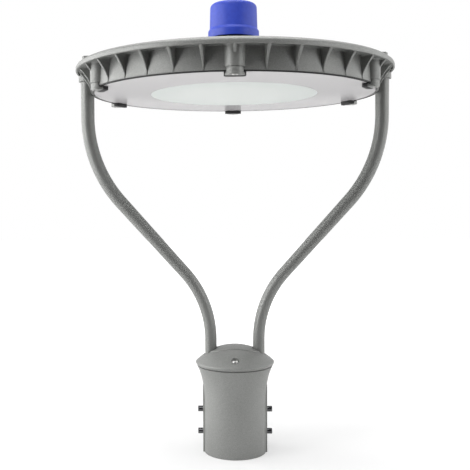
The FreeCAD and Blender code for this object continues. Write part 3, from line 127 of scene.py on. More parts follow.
def new_material(name, **surface):
    """Material with one Principled surface whose sockets take the given values."""
    material = bpy.data.materials.new(name)
    material.use_nodes = True
    tree = material.node_tree
    shader = tree.nodes["Principled BSDF"]
    for socket, value in surface.items():
        shader.inputs[socket.replace("_", " ")].default_value = value
    return material, tree, shader


def object_place(tree, scale=(1, 1, 1)):
    """Object coordinates in metres, stretched by a scale."""
    coords = add_node(tree, "ShaderNodeTexCoord")
    return add_node(tree, "ShaderNodeMapping", None, {"Scale": scale},
                    {"Vector": coords.outputs["Object"]})


def grain(tree, place, grain_mm, detail=2.0, rough=0.6):
    """Noise whose grains measure about grain_mm."""
    return add_node(tree, "ShaderNodeTexNoise", None,
                    {"Scale": 1 / (grain_mm * MM), "Detail": detail, "Roughness": rough},
                    {"Vector": place.outputs["Vector"]})


def mapped(tree, value, ends):
    """Value carried over to a new range, whose ends are given by socket name."""
    node = add_node(tree, "ShaderNodeMapRange", None, ends, {"Value": value})
    return node.outputs["Result"]


def shades(tree, factor, stops):
    """Colour ramp from pairs of place and hex code."""
    ramp = add_node(tree, "ShaderNodeValToRGB", None, None, {"Fac": factor})
    elements = ramp.color_ramp.elements
    while len(elements) < len(stops):
        elements.new(0.5)
    for element, (spot, code) in zip(elements, stops):
        element.position = spot
        element.color = hex_colour(code)
    return ramp.outputs["Color"]


def powder_coat(name, dark, mid, light, roughness=0.5, metallic=0.35, relief=0.12):
    """Polyester powder coat with metal flake: grains of three greys over a faint orange peel."""
    material, tree, shader = new_material(name, Metallic=metallic, Roughness=roughness, IOR=1.5)
    place = object_place(tree)
    # real grains are near 0.1 mm, drawn at 0.9 mm so that the sparkle still shows from here
    flake = grain(tree, place, 0.9, detail=3.0, rough=0.75).outputs["Fac"]
    tone = shades(tree, flake, [(0.36, dark), (0.5, mid), (0.64, light)])
    tree.links.new(tone, shader.inputs["Base Color"])
    # orange peel of the baked film, a few millimetres across
    peel = grain(tree, place, 2.5, detail=1.0).outputs["Fac"]
    bump = add_node(tree, "ShaderNodeBump", None, {"Strength": relief, "Distance": 0.1 * MM},
                    {"Height": maths(tree, "ADD", flake, peel)})
    tree.links.new(bump.outputs["Normal"], shader.inputs["Normal"])
    sheen = mapped(tree, peel, {"To Min": roughness - 0.07, "To Max": roughness + 0.08})
    tree.links.new(sheen, shader.inputs["Roughness"])
    return material


def bright_steel():
    """Stainless steel, drawn and tumbled: fine scratches, soft sheen."""
    material, tree, shader = new_material("tumbled_stainless_steel", Metallic=1.0, Roughness=0.32)
    shader.inputs["Base Color"].default_value = hex_colour("BDBDBB")
    marks = grain(tree, object_place(tree), 0.5, detail=4.0).outputs["Fac"]
    rough = mapped(tree, marks, {"To Min": 0.22, "To Max": 0.42})
    tree.links.new(rough, shader.inputs["Roughness"])
    return material


def dark_screw():
    """Set screws in oiled black oxide: dark, but polished enough to mirror the floor."""
    material, tree, shader = new_material("oiled_black_oxide_steel", Metallic=1.0, Roughness=0.14)
    stain = grain(tree, object_place(tree), 1.4).outputs["Fac"]
    tone = shades(tree, stain, [(0.3, "48484A"), (0.7, "5A5A5C")])
    tree.links.new(tone, shader.inputs["Base Color"])
    return material


def printed_glass():
    """Tempered glass: a frosted middle inside a grey ceramic border printed on its back."""
    material, tree, shader = new_material("frosted_glass_with_printed_border", IOR=1.5)
    coords = add_node(tree, "ShaderNodeTexCoord")
    parts = add_node(tree, "ShaderNodeSeparateXYZ", None, None,
                     {"Vector": coords.outputs["Object"]})
    flat = add_node(tree, "ShaderNodeCombineXYZ", None, None,
                    {"X": parts.outputs["X"], "Y": parts.outputs["Y"]})
    length = add_node(tree, "ShaderNodeVectorMath", {"operation": "LENGTH"}, None,
                      {0: flat.outputs["Vector"]})
    radius = length.outputs["Value"]
    # the print starts within 1 mm
    share = mapped(tree, radius, {"From Min": BORDER_R * MM, "From Max": (BORDER_R + 1) * MM})
    # painted light: the frosted middle is painted whitest in its centre, and painted shade makes
    # it a little darker and greener toward the border
    glow = mapped(tree, radius, {"From Min": 60 * MM, "From Max": BORDER_R * MM})
    middle = shades(tree, glow, [(0.0, "D3D7D4"), (1.0, "CBD1CE")])
    cloud = grain(tree, object_place(tree), 1.2).outputs["Fac"]
    border = shades(tree, cloud, [(0.3, "BAB8B9"), (0.7, "C0BEBF")])
    paint = add_node(tree, "ShaderNodeMix", {"data_type": "RGBA"}, None,
                     {"Factor": share, "A": middle, "B": border})
    tree.links.new(paint.outputs["Result"], shader.inputs["Base Color"])
    rough = mapped(tree, share, {"To Min": 0.42, "To Max": 0.2})
    tree.links.new(rough, shader.inputs["Roughness"])
    return material


def moulded_plastic(name, dark, light, roughness):
    """Injection-moulded plastic: even colour, with a fine spark-eroded grain."""
    material, tree, shader = new_material(name, Roughness=roughness, IOR=1.5)
    place = object_place(tree)
    cloud = grain(tree, place, 6.0).outputs["Fac"]
    tone = shades(tree, cloud, [(0.3, dark), (0.7, light)])
    tree.links.new(tone, shader.inputs["Base Color"])
    texture = grain(tree, place, 0.7)
    bump = add_node(tree, "ShaderNodeBump", None, {"Strength": 0.15, "Distance": 0.05 * MM},
                    {"Height": texture.outputs["Fac"]})
    tree.links.new(bump.outputs["Normal"], shader.inputs["Normal"])
    return material


def rolled_metal(name, dark, light, roughness):
    """Sheet or machined metal with faint turning marks."""
    material, tree, shader = new_material(name, Metallic=1.0, Roughness=roughness)
    marks = grain(tree, object_place(tree, (1, 1, 6)), 1.5, detail=3.0).outputs["Fac"]
    tone = shades(tree, marks, [(0.3, dark), (0.7, light)])
    tree.links.new(tone, shader.inputs["Base Color"])
    return material


# Meshes

def new_piece(name, mesh, material, nodes=(), crease=35):
    """Puts a mesh in the scene as a piece of the lamp and lets it stand for its CAD nodes."""
    mesh.set_sharp_from_angle(angle=math.radians(crease))
    piece = bpy.data.objects.new(name, mesh)
    bpy.context.scene.collection.objects.link(piece)
    mesh.materials.clear()
    mesh.materials.append(material)
    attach(piece, "root")
    if nodes:
        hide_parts(*nodes)


def mesh_of(form, name):
    """Plain smooth mesh from a form drawn in millimetres."""
    bmesh.ops.remove_doubles(form, verts=form.verts, dist=0.0005)
    bmesh.ops.recalc_face_normals(form, faces=form.faces)
    bmesh.ops.transform(form, matrix=Matrix.Scale(MM, 4), verts=form.verts)
    mesh = bpy.data.meshes.new(name)
    for face in form.faces:
        face.smooth = True
    form.to_mesh(mesh)
    form.free()
    return mesh


def rounded_line(corners, steps=5):
    """Points through corners (x, y, round), each corner eased by its own radius."""
    line = []
    count = len(corners)
    for i, (x, y, ease) in enumerate(corners):
        here = Vector((x, y))
        if not ease:
            line.append(here)
            continue
        before = (Vector(corners[i - 1][:2]) - here).normalized()
        after = (Vector(corners[(i + 1) % count][:2]) - here).normalized()
        half = before.angle(after) / 2
        reach = ease / math.tan(half)
        centre = here + (before + after).normalized() * (ease / math.sin(half))
        start = here + before * reach - centre
        end = here + after * reach - centre
        for k in range(steps + 1):
            line.append(centre + start.slerp(end, k / steps, start).normalized() * ease)
    return line


def arc(centre, radius, first, last, steps):
    """Points of an arc between two angles in degrees."""
    points = []
    for k in range(steps + 1):
        a = math.radians(first + (last - first) * k / steps)
        points.append(Vector((centre[0] + radius * math.cos(a), centre[1] + radius * math.sin(a))))
    return points


def bridged(form, rings):
    """Faces between rings of as many points each, from the first ring to the last."""
    for near, far in zip(rings, rings[1:]):
        for k in range(len(near)):
            j = (k + 1) % len(near)
            form.faces.new((near[k], near[j], far[j], far[k]))


def lathe(form, line, segments=192, spot=(0, 0)):
    """Turns a closed line of (radius, height) round an upright axis at a spot."""
    rings = []
    for k in range(segments):
        a = TURN * k / segments
        rings.append([form.verts.new((spot[0] + p[0] * math.cos(a), spot[1] + p[0] * math.sin(a),
                                      p[1])) for p in line])
    for k in range(segments):
        near = rings[k]
        far = rings[(k + 1) % segments]
        for i in range(len(line)):
            j = (i + 1) % len(line)
            if line[i][0] < 1e-6 and line[j][0] < 1e-6:
                continue
            form.faces.new((near[i], near[j], far[j], far[i]))
    return form


def turned_mesh(name, corners, segments=192, steps=5):
    """Mesh of one turned form, drawn as its half section."""
    return mesh_of(lathe(bmesh.new(), rounded_line(corners, steps), segments), name)


def moved_points(made):
    """Vertices that an extrusion has made."""
    return [item for item in made["geom"] if isinstance(item, bmesh.types.BMVert)]


def slab(form, outline, low, high, ease=0.5):
    """Upright prism over an outline, with its rims rounded."""
    floor = [form.verts.new((x, y, low)) for x, y in outline]
    face = form.faces.new(floor)
    tops = moved_points(bmesh.ops.extrude_face_region(form, geom=[face]))
    bmesh.ops.translate(form, vec=(0, 0, high - low), verts=tops)
    fresh = set(floor) | set(tops)
    rims = [e for e in form.edges
            if set(e.verts) <= fresh and abs(e.verts[0].co.z - e.verts[1].co.z) < 1e-6]
    bmesh.ops.bevel(form, geom=rims, offset=ease, segments=2, profile=0.5, affect="EDGES")


def turned_over(form, angle, axis):
    """Turns a whole form round one axis of the lamp."""
    bmesh.ops.rotate(form, cent=(0, 0, 0), matrix=Matrix.Rotation(angle, 3, axis),
                     verts=form.verts)
    return form


def about_axis(form, angle):
    """Turns a whole form round the lamp's upright axis."""
    return turned_over(form, angle, "Z")


def laid_across(form, level):
    """Lays an upright form along X, at a level."""
    turned_over(form, math.pi / 2, "Y")
    bmesh.ops.translate(form, vec=(0, 0, level), verts=form.verts)
    return form


def added(whole, form):
    """Moves a form into a larger one."""
    extra = bpy.data.meshes.new("extra")
    form.to_mesh(extra)
    form.free()
    took_in(whole, extra)


def took_in(whole, mesh):
    """Moves a mesh into a form and forgets the mesh."""
    whole.from_mesh(mesh)
    bpy.data.meshes.remove(mesh)


def ring_tree():
    """Geometry Nodes tree: copies of one piece, evenly spaced round the lamp's axis."""
    tree = bpy.data.node_groups.new("even_ring", "GeometryNodeTree")
    sockets = {}
    for name, kind in (("Piece", "Geometry"), ("Copies", "Int"), ("Finish", "Material")):
        sockets[name] = tree.interface.new_socket(name, in_out="INPUT",
                                                  socket_type="NodeSocket" + kind)
    tree.interface.new_socket("Ring", in_out="OUTPUT", socket_type="NodeSocketGeometry")
    start = add_node(tree, "NodeGroupInput")
    index = add_node(tree, "GeometryNodeInputIndex")
    step = maths(tree, "DIVIDE", TURN, start.outputs["Copies"])
    angle = maths(tree, "MULTIPLY", step, index.outputs["Index"])
    turn = add_node(tree, "ShaderNodeCombineXYZ", None, None, {"Z": angle})
    spots = add_node(tree, "GeometryNodePoints", None, None, {"Count": start.outputs["Copies"]})
    copies = add_node(tree, "GeometryNodeInstanceOnPoints", None, None,
                      {"Points": spots.outputs["Points"], "Instance": start.outputs["Piece"],
                       "Rotation": turn.outputs["Vector"]})
    real = add_node(tree, "GeometryNodeRealizeInstances", None, None,
                    {"Geometry": copies.outputs["Instances"]})
    finish = add_node(tree, "GeometryNodeSetMaterial", None, None,
                      {"Geometry": real.outputs["Geometry"], "Material": start.outputs["Finish"]})
    end = add_node(tree, "NodeGroupOutput")
    tree.links.new(finish.outputs["Geometry"], end.inputs["Ring"])
    return tree, sockets


def ring_mesh(name, mesh, copies, material):
    """Mesh of evenly spaced copies of a mesh, made by the ring tree."""
    tree, sockets = RING
    holder = bpy.data.objects.new(name + "_form", mesh)
    bpy.context.scene.collection.objects.link(holder)
    modifier = holder.modifiers.new("ring", "NODES")
    modifier.node_group = tree
    modifier[sockets["Copies"].identifier] = copies
    modifier[sockets["Finish"].identifier] = material
    ready = holder.evaluated_get(bpy.context.evaluated_depsgraph_get())
    ring = bpy.data.meshes.new_from_object(ready)
    holder.modifiers.clear()
    bpy.data.objects.remove(holder)
    return ring


def carved(mesh, tools):
    """Cuts tool forms out of a mesh."""
    body = bpy.data.objects.new("body", mesh)
    bpy.context.scene.collection.objects.link(body)
    helpers = []
    for number, tool in enumerate(tools):
        helper = bpy.data.objects.new("tool_%d" % number, mesh_of(tool, "tool_%d" % number))
        bpy.context.scene.collection.objects.link(helper)
        helpers.append(helper)
        cutter = body.modifiers.new("cut_%d" % number, "BOOLEAN")
        cutter.operation = "DIFFERENCE"
        cutter.solver = "EXACT"
        cutter.object = helper
    ready = body.evaluated_get(bpy.context.evaluated_depsgraph_get())
    result = bpy.data.meshes.new_from_object(ready)
    body.modifiers.clear()
    for thing in helpers + [body]:
        bpy.data.objects.remove(thing)
    for face in result.polygons:
        face.use_smooth = True
    return result


def rod(radius, low, high, spot=(0, 0), segments=48):
    """Plain upright rod, used to cut holes."""
    return lathe(bmesh.new(), [(0, low), (radius, low), (radius, high), (0, high)], segments, spot)


def screw_head(radius, height, key, shank, shank_r, spot, up=False):
    """Low domed screw head with a hexagon key, on a plain shank, at a spot (x, y, seat)."""
    line = rounded_line([(0, -shank, 0), (shank_r, -shank, 0), (shank_r, 0, 0), (radius, 0, 0.15),
                         (radius * 0.97, height, height * 0.4), (0, height, 0)], 4)
    head = lathe(bmesh.new(), line, 40)
    hexagon = rod(key / math.sqrt(3), height * 0.35, height + 1, segments=6)
    form = bmesh.new()
    took_in(form, carved(mesh_of(head, "head"), [hexagon]))
    bmesh.ops.transform(form, matrix=Matrix.Scale(1 / MM, 4), verts=form.verts)
    if up:
        turned_over(form, math.pi, "X")
    bmesh.ops.translate(form, vec=spot, verts=form.verts)
    return form


# Collar and its lid

def screw_ways():
    """The two threaded ways right through the collar."""
    return [laid_across(rod(4.06, -50, 50), level) for level in SET_SCREW_LEVELS]


def collar(coat):
    """Cast collar: a tube that flares to the lid, with the pole stop and arm sockets inside."""
    line = [Vector(p) for p in ((41, 0), (42.9, 0), (43.33, 0.17), (COLLAR_R, 0.6),
                                (COLLAR_R, 50))]
    for k in range(19):
        rise = k / 18
        line.append(Vector((COLLAR_R + 9.0 * rise ** 2.6 + 0.35 * rise,
                            FLARE_LOW + (COLLAR_TOP - FLARE_LOW) * rise)))
    line.append(Vector((48.7, COLLAR_TOP)))
    # inside of the flare, then the pole stop with its window
    line += arc((97.39, 95), 55.89, 150.5, 174.9, 10)
    line += [Vector(p) for p in ((13, 100), (13, 94), (BORE_R, 94), (BORE_R, 1))]
    mesh = mesh_of(lathe(bmesh.new(), line), "pole_collar")
    tools = screw_ways()
    for side in SIDES:
        tools.append(rod(5, 90, 104, (FOOT_X * side, 0)))
    new_piece("collar_shell", carved(mesh, tools), coat, ["pole_collar"])
    # flat strips on both sides, where the set screws are tapped
    strip = [(42.3, -6.5), (44.6, -6.5), (45.0, -6.1), (45.0, 6.1), (44.6, 6.5), (42.3, 6.5)]
    pads = bmesh.new()
    for turn in (0, math.pi):
        pad = bmesh.new()
        slab(pad, strip, 0, 96, 0.4)
        added(pads, about_axis(pad, turn))
    pads = carved(mesh_of(pads, "collar_pads"), screw_ways())
    new_piece("collar_pads", pads, coat, ())


def set_screws(black):
    """Four socket set screws, standing out of the collar's sides."""
    line = rounded_line([(0, 40.2, 0), (3.4, 40.2, 0), (4, 40.8, 0), (4, 52.1, 0.7),
                         (2.3, 52.1, 0.2), (2.3, 48.6, 0), (0, 47.6, 0)], 4)
    whole = bmesh.new()
    for turn in (0, math.pi):
        for level in SET_SCREW_LEVELS:
            screw = laid_across(lathe(bmesh.new(), line, 36), level)
            added(whole, about_axis(screw, turn))
    new_piece("collar_set_screws", mesh_of(whole, "collar_set_screws"), black, ["set_screws"])


def lid_arm_holes():
    """Tools for the arms' ways through the lid."""
    return [rod(LID_ARM_HOLE_R, 100, 160, (FOOT_X * side, 0), 64) for side in SIDES]


def lid(coat):
    """Domed lid with holes for the arms and two sunk screws, and a low oval pad on top."""
    centre = LID_TOP - LID_DOME_R
    first = math.degrees(math.asin(53.9 / LID_DOME_R))
    line = [Vector(p) for p in (
        (48.9, 122.6), (50.0, 122.6), (50.0, 123.6), (52.9, 123.6), (53.6, 124.2), (54.7, 126.2),
        (55.0, 127.0), (54.9, 127.9), (54.5, 128.6))]
    line += arc((0, centre), LID_DOME_R, 90 - first, 90, 26)
    line += arc((0, LID_INNER_TOP - LID_INNER_R), LID_INNER_R, 90,
                90 - math.degrees(math.asin(48.9 / LID_INNER_R)), 18)
    mesh = mesh_of(lathe(bmesh.new(), line), "collar_lid")
    tools = []
    for hole, side in zip(lid_arm_holes(), SIDES):
        tools += [hole, rod(5, 132.4, 160, (0, LID_SCREW_Y * side))]
    new_piece("lid_dome", carved(mesh, tools), coat, ["collar_lid"])
    lid_pad(coat, centre)


def lid_pad(coat, centre):
    """Oval pad that follows the lid's dome, 1 mm proud, with a crisp front and back edge."""
    def squared(value):
        return math.copysign(abs(value) ** 0.72, value)

    pad = bmesh.new()
    rings = []
    # each ring's share of the outline, and how far it stands off the dome
    for share, lift in ((1.005, -0.5), (1.0, 0.2), (0.995, 0.75), (0.98, 1.0), (0.9, 1.0),
                        (0.7, 1.0), (0.45, 1.0), (0.2, 1.0)):
        ring = []
        for k in range(PAD_POINTS):
            a = TURN * k / PAD_POINTS
            x = 36 * share * squared(math.cos(a))
            y = 20.6 * share * squared(math.sin(a))
            height = centre + math.sqrt(LID_DOME_R * LID_DOME_R - x * x - y * y) + lift
            ring.append(pad.verts.new((x, y, height)))
        rings.append(ring)
    bridged(pad, rings)
    top = pad.verts.new((0, 0, 151.3))
    for k in range(PAD_POINTS):
        pad.faces.new((rings[-1][k], rings[-1][(k + 1) % PAD_POINTS], top))
    pad.faces.new(rings[0])
    new_piece("lid_pad", carved(mesh_of(pad, "lid_pad"), lid_arm_holes()), coat, ())


def lid_screws(steel):
    """The lid's two screws, one in front and one behind."""
    whole = bmesh.new()
    for side in SIDES:
        added(whole, screw_head(4.25, 4.8, 3.4, 16, 2.5, (0, LID_SCREW_Y * side, 132.45)))
    new_piece("lid_screw_pair", mesh_of(whole, "lid_screw_pair"), steel, ["lid_screws"])


# Arms

def arm_path():
    """Places (x, z, radius) along an arm's middle: foot, low bend, slope, high bend, head."""
    low_z = ARM_CORNER - LOW_BEND * math.tan(ARM_LEAN / 2)
    high_z = (ARM_CORNER + (ARM_X - FOOT_X) / math.tan(ARM_LEAN)
              + HIGH_BEND * math.tan(ARM_LEAN / 2))
    path = [(FOOT_X, ARM_FOOT, FOOT_R), (FOOT_X, low_z, LOW_R)]
    for k in range(1, 25):
        a = ARM_LEAN * k / 24
        path.append((FOOT_X + LOW_BEND * (1 - math.cos(a)), low_z + LOW_BEND * math.sin(a), LOW_R))
    first = path[-1]
    last = (ARM_X - HIGH_BEND * (1 - math.cos(ARM_LEAN)),
            high_z - HIGH_BEND * math.sin(ARM_LEAN), HIGH_R)
    for k in range(1, 20):
        path.append(tuple(a + (b - a) * k / 20 for a, b in zip(first, last)))
    for k in range(29):
        a = ARM_LEAN * (1 - k / 28)
        path.append((ARM_X - HIGH_BEND * (1 - math.cos(a)), high_z - HIGH_BEND * math.sin(a),
                     HIGH_R))
    path.append((ARM_X, ARM_TOP, HEAD_R))
    return path


def arm(coat, side):
    """Bent tube that grows from 16 mm at the collar to 19 mm under the head."""
    path = arm_path()
    form = bmesh.new()
    rings = []
    for i, (x, z, radius) in enumerate(path):
        way = Vector((0, 0, 1))
        if 1 < i < len(path) - 2:
            ahead = path[i + 1]
            behind = path[i - 1]
            way = Vector((ahead[0] - behind[0], 0, ahead[1] - behind[1])).normalized()
        across = Vector((way.z, 0, -way.x))
        ring = []
        for k in range(TUBE_POINTS):
            a = TURN * k / TUBE_POINTS
            spot = (Vector((x, 0, z)) + across * (radius * math.cos(a))
                    + Vector((0, radius * math.sin(a), 0)))
            ring.append(form.verts.new((spot.x * side, spot.y, spot.z)))
        rings.append(ring)
    bridged(form, rings)
    form.faces.new(rings[0])
    form.faces.new(rings[-1])
    hand = "right" if side > 0 else "left"
    name = "bent_arm_" + hand
    new_piece(name, mesh_of(form, name), coat, ["arm_" + hand])


# Head casting

def fin_form():
    """One fin of the drum: drafted, with a hollow outer edge and eased roots."""
    levels = []
    for z, edge in ((501.8, 196.95), (504.5, 197.2), (508, 198.1), (511, 199.6), (514, 201.3),
                    (517, 203.3), (520, 205.4), (523, 207.6), (526, 210.0), (528.4, 212.4)):
        levels.append((z, edge, 0.8 + (z - FIN_FOOT) * 0.048))
    # the fin flares into the deck above it
    levels += [(529.6, 213.6, 2.4), (530.6, 214.2, 3.4), (531.5, 214.4, 3.6)]
    form = bmesh.new()
    rings = []
    for z, edge, half in levels:
        wall = 195.6 - (z - 504) * 0.055
        ease = min(half * 0.8, 1.1)
        section = [(-half - 1.4, wall - 2), (-half - 1.0, wall), (-half - 0.3, wall + 0.5),
                   (-half, wall + 1.5), (-half, edge - ease), (-half * 0.7, edge - ease * 0.3),
                   (0, edge), (half * 0.7, edge - ease * 0.3), (half, edge - ease),
                   (half, wall + 1.5), (half + 0.3, wall + 0.5), (half + 1.0, wall),
                   (half + 1.4, wall - 2)]
        rings.append([form.verts.new((x, -reach, z)) for x, reach in section])
    bridged(form, rings)
    form.faces.new(rings[0])
    form.faces.new(rings[-1])
    return form


def rib_form():
    """One low rib on top of the deck, from the driver housing out to the crown."""
    outline = [(-108, 541.5), (-204, 536.0), (-204, 537.7), (-109.2, 549.0)]
    form = bmesh.new()
    near = [form.verts.new((-1.5, y, z)) for y, z in outline]
    face = form.faces.new(near)
    far = moved_points(bmesh.ops.extrude_face_region(form, geom=[face]))
    bmesh.ops.translate(form, vec=(3, 0, 0), verts=far)
    bmesh.ops.bevel(form, geom=list(form.edges), offset=0.7, segments=2, profile=0.5,
                    affect="EDGES")
    return form


def head_casting(coat):
    """Die-cast head: drum with lip, fins, rim, deck with ribs, housing, bosses and sockets."""
    line = rounded_line([
        # lip and outer wall of the drum
        (193.2, 501.2, 0.2), (197.0, 501.2, 0.4), (197.0, 502.0, 0.3), (196.7, 502.6, 0.4),
        (195.0, 530.5, 1.2),
        # rim, crown and deck
        (213.9, 530.5, 0.6), (213.9, 528.0, 0.4), (216.7, 528.0, 0.8), (216.7, 533.4, 3.2),
        (212.0, 536.6, 2.0), (205.0, 538.0, 2.0),
        # driver housing and its floor
        (110.0, 543.0, 1.5), (109.3, HOUSING_TOP, 0.8), (105.3, HOUSING_TOP, 0.3),
        (105.3, 526.5, 0.3), (0, 526.5, 0), (0, 522.0, 0), (109.0, 522.0, 1.0),
        # inside of the drum, down to the ledge of the glass seal
        (109.0, 538.2, 1.0), (191.2, 533.2, 1.0), (191.2, 508.4, 0.5), (187.7, 508.4, 0.3),
        (187.7, 505.4, 0.3), (193.2, 505.4, 0.3)], 4)
    drum = mesh_of(lathe(bmesh.new(), line, 272), "drum")
    tools = [rod(10.1, 499, 521, (ARM_X * side, 0), 64) for side in SIDES]
    whole = bmesh.new()
    took_in(whole, carved(drum, tools))
    for form, name in ((fin_form(), "fin"), (rib_form(), "rib")):
        took_in(whole, ring_mesh(name, mesh_of(form, name), FIN_COUNT, coat))
    took_in(whole, mesh_of(bosses(), "extra"))
    for face in whole.faces:
        face.smooth = True
    mesh = bpy.data.meshes.new("head_casting")
    whole.to_mesh(mesh)
    whole.free()
    new_piece("head_casting", mesh, coat, ["heat_sink"], 30)


def bosses():
    """Clip bosses, arm sockets and the posts of the cover's screws."""
    form = bmesh.new()
    boss = rounded_line([(0, 505.2, 0), (11.9, 505.2, 0.5), (12.0, 529.0, 1.8), (14.2, 531.2, 0),
                         (0, 531.2, 0)], 4)
    for k in CLIP_FINS:
        spot = Vector((CLIP_R * math.sin(k * FIN_STEP), -CLIP_R * math.cos(k * FIN_STEP)))
        lathe(form, boss, 56, spot)
    socket = rounded_line([(9.65, 520.0, 0.2), (12.2, 520.0, 0.6), (12.3, 547.2, 0),
                           (10.6, SOCKET_TOP, 0.5), (4.3, SOCKET_TOP, 0.2), (4.3, 544.5, 0),
                           (9.65, 544.5, 0)], 4)
    for side in SIDES:
        lathe(form, socket, 56, (ARM_X * side, 0))
    post = [(0, 526.5), (4.6, 526.5), (4.6, HOUSING_TOP), (2.1, HOUSING_TOP), (2.1, 538),
            (0, 538)]
    for k in range(COVER_SCREWS):
        a = k * math.pi / 3
        lathe(form, post, 32, (COVER_SCREW_R * math.sin(a), -COVER_SCREW_R * math.cos(a)))
    return form


def arm_bolts(coat):
    """Bolt and washer on each arm socket, above the rim, coated with the head."""
    washer = rounded_line([(4.25, SOCKET_TOP, 0), (8, SOCKET_TOP, 0.2), (8, 550.6, 0.3),
                           (4.25, 550.6, 0)], 3)
    whole = bmesh.new()
    for side in SIDES:
        lathe(whole, washer, 48, (ARM_X * side, 0))
    new_piece("arm_bolt_washers", mesh_of(whole, "arm_bolt_washers"), coat, ["arm_washers"])
    whole = bmesh.new()
    for side in SIDES:
        lathe(whole, [(0, 532), (4, 532), (4, 550.7), (0, 550.7)], 32, (ARM_X * side, 0))
        outline = []
        for k in range(6):
            a = math.pi / 3 * k
            outline.append((ARM_X * side + 7.5 * math.cos(a), 7.5 * math.sin(a)))
        head = bmesh.new()
        slab(head, outline, 550.6, 555.9, 0.6)
        added(whole, head)
    new_piece("arm_bolt_heads", mesh_of(whole, "arm_bolt_heads"), coat, ["arm_bolts"])


# Glass and clips

def glass(material, rubber):
    """Tempered glass disc with ground edges, and the seal's black lip round the casting's foot,
    which is also painted shade for the gap between the glass and the casting.
    """
    # the black rubber lip is partly the real seal and partly painted shade: a dark band where the
    # gap under the casting's foot lies in shadow
    lip = turned_mesh("seal_lip_with_gap_shade", [(196.5, 500.4, 0.1), (197.15, 500.4, 0.2), (197.15, 501.7, 0.2),
                                   (196.5, 501.7, 0)], 272, 3)
    new_piece("seal_lip_with_gap_shade", lip, rubber, ())
    disc = turned_mesh("glass_disc", [(0, GLASS_LOW, 0), (GLASS_R, GLASS_LOW, 0.7),
                                      (GLASS_R, GLASS_TOP, 0.7), (0, GLASS_TOP, 0)], 272)
    new_piece("glass_disc", disc, material, ["cover_glass"])


def tongue_end(half, radius, reach):
    """Inner end of a tongue: two quarter rounds, their centres half a width off its middle."""
    return (arc((-half, -reach), radius, 180, 90, 6) + arc((half, -reach), radius, 90, 0, 6))


def clip_form():
    """One clip: a heel under the boss, outside the glass, and a tongue that carries the glass."""
    form = bmesh.new()
    heel = arc((0, -CLIP_R), CLIP_HEEL_R, -4, -176, 24)
    slab(form, heel + tongue_end(7.5, 5, 191.5), CLIP_LOW, 499.5, 0.5)
    # the heel rises outside the lip to meet the boss
    crescent = arc((0, -CLIP_R), CLIP_HEEL_R, -25, -155, 24)
    crescent += arc((0, 0), 197.4, -92.85, -87.15, 24)
    slab(form, crescent, 498.8, 505.2, 0.3)
    return form


def boot_form():
    """Rubber boot drawn over a clip's tongue, so that no metal touches the glass."""
    form = bmesh.new()
    outline = [(-12.9, -192.5)] + tongue_end(7.7, 5.2, 189.7) + [(12.9, -192.5)]
    slab(form, outline, 495.6, 500.25, 0.5)
    return form


def clips(steel, coat, rubber):
    """Six coated clips, their steel screws and rubber boots."""
    for number, k in enumerate(CLIP_FINS, start=1):
        form = about_axis(clip_form(), k * FIN_STEP)
        name = "glass_clip_%d" % number
        new_piece(name, mesh_of(form, name), coat, ["cover_clip_%d" % number])
    whole = bmesh.new()
    for k in CLIP_FINS:
        screw = screw_head(3.8, 1.5, 3.0, 18, 2.0, (0, -199.6, 497.0), up=True)
        added(whole, about_axis(screw, k * FIN_STEP))
    new_piece("clip_screw_heads", mesh_of(whole, "clip_screw_heads"), steel, ["clip_screws"])
    whole = bmesh.new()
    for k in CLIP_FINS:
        added(whole, about_axis(boot_form(), k * FIN_STEP))
    new_piece("clip_boots", mesh_of(whole, "clip_boots"), rubber, ["clip_pads"])


# Top of the head

def driver_cover(coat, steel):
    """Cast cover of the driver chamber with its six screws."""
    mesh = turned_mesh("driver_cover", [
        (24.8, 564.0, 0), (48.5, 564.0, 1), (92.5, 551.5, 1), (109.3, 551.5, 0.3),
        (109.3, 554.5, 1.2), (94.0, 554.5, 2.0), (50.0, 567.0, 4.0), (24.8, 567.0, 0.3)])
    new_piece("chamber_cover", mesh, coat, ["driver_cover"])
    screw = screw_head(3.8, 2.6, 3.0, 16, 2.0, (0, -COVER_SCREW_R, 554.55))
    ring = ring_mesh("cover_screw", mesh_of(screw, "cover_screw"), COVER_SCREWS, steel)
    new_piece("chamber_cover_screws", ring, steel, ["cover_screws"])


def cap_and_socket(blue, black, rubber):
    """Twist-lock socket with its flange, and the blue shorting cap on it."""
    socket = turned_mesh("cap_socket", [
        (0, 555, 0), (24.5, 555, 0.5), (24.5, 568, 0), (40, 568, 0.4), (40, 571, 1.0),
        (32.3, 571, 0.8), (32.3, 574.6, 0.6), (0, 574.6, 0)], 144)
    new_piece("twist_socket", socket, black, ["cap_socket"])
    shell = turned_mesh("cap_shell", [
        (32.8, 576.5, 0.3), (35.2, 576.5, 0.5), (35.2, 586.5, 1.5), (33.0, 590.0, 0.8),
        (32.0, CAP_TOP, 6.0), (0, CAP_TOP, 0), (0, 621.9, 0), (29.6, 621.9, 2.0),
        (30.6, 583.1, 0), (32.8, 583.1, 0)], 160, 6)
    new_piece("cap_shell", shell, blue, ["shorting_cap_shell"])
    ring = turned_mesh("face_ring", [(27.3, 574.6, 0), (32.3, 574.6, 0.3), (32.3, 576.2, 0.5),
                                     (27.3, 576.2, 0.3)], 120)
    new_piece("face_ring", ring, rubber, ["face_seal"])


# Studio

def camera():
    """Camera at the photograph's place: 1.08 m away, a little above the middle of the arms."""
    lens = bpy.data.cameras.new("camera")
    lens.lens = 59.35
    lens.sensor_width = 36
    lens.shift_x = 0.0775
    lens.clip_start = 0.01
    lens.clip_end = 50
    eye = bpy.data.objects.new("camera", lens)
    bpy.context.scene.collection.objects.link(eye)
    yaw = Matrix.Rotation(math.radians(2.22), 4, "Z")
    pitch = Matrix.Rotation(math.radians(90 - 2.43), 4, "X")
    roll = Matrix.Rotation(math.radians(-0.34), 4, "Z")
    eye.matrix_world = Matrix.Translation((-0.0081, -1.0848, 0.3517)) @ (yaw @ pitch @ roll)
    bpy.context.scene.camera = eye


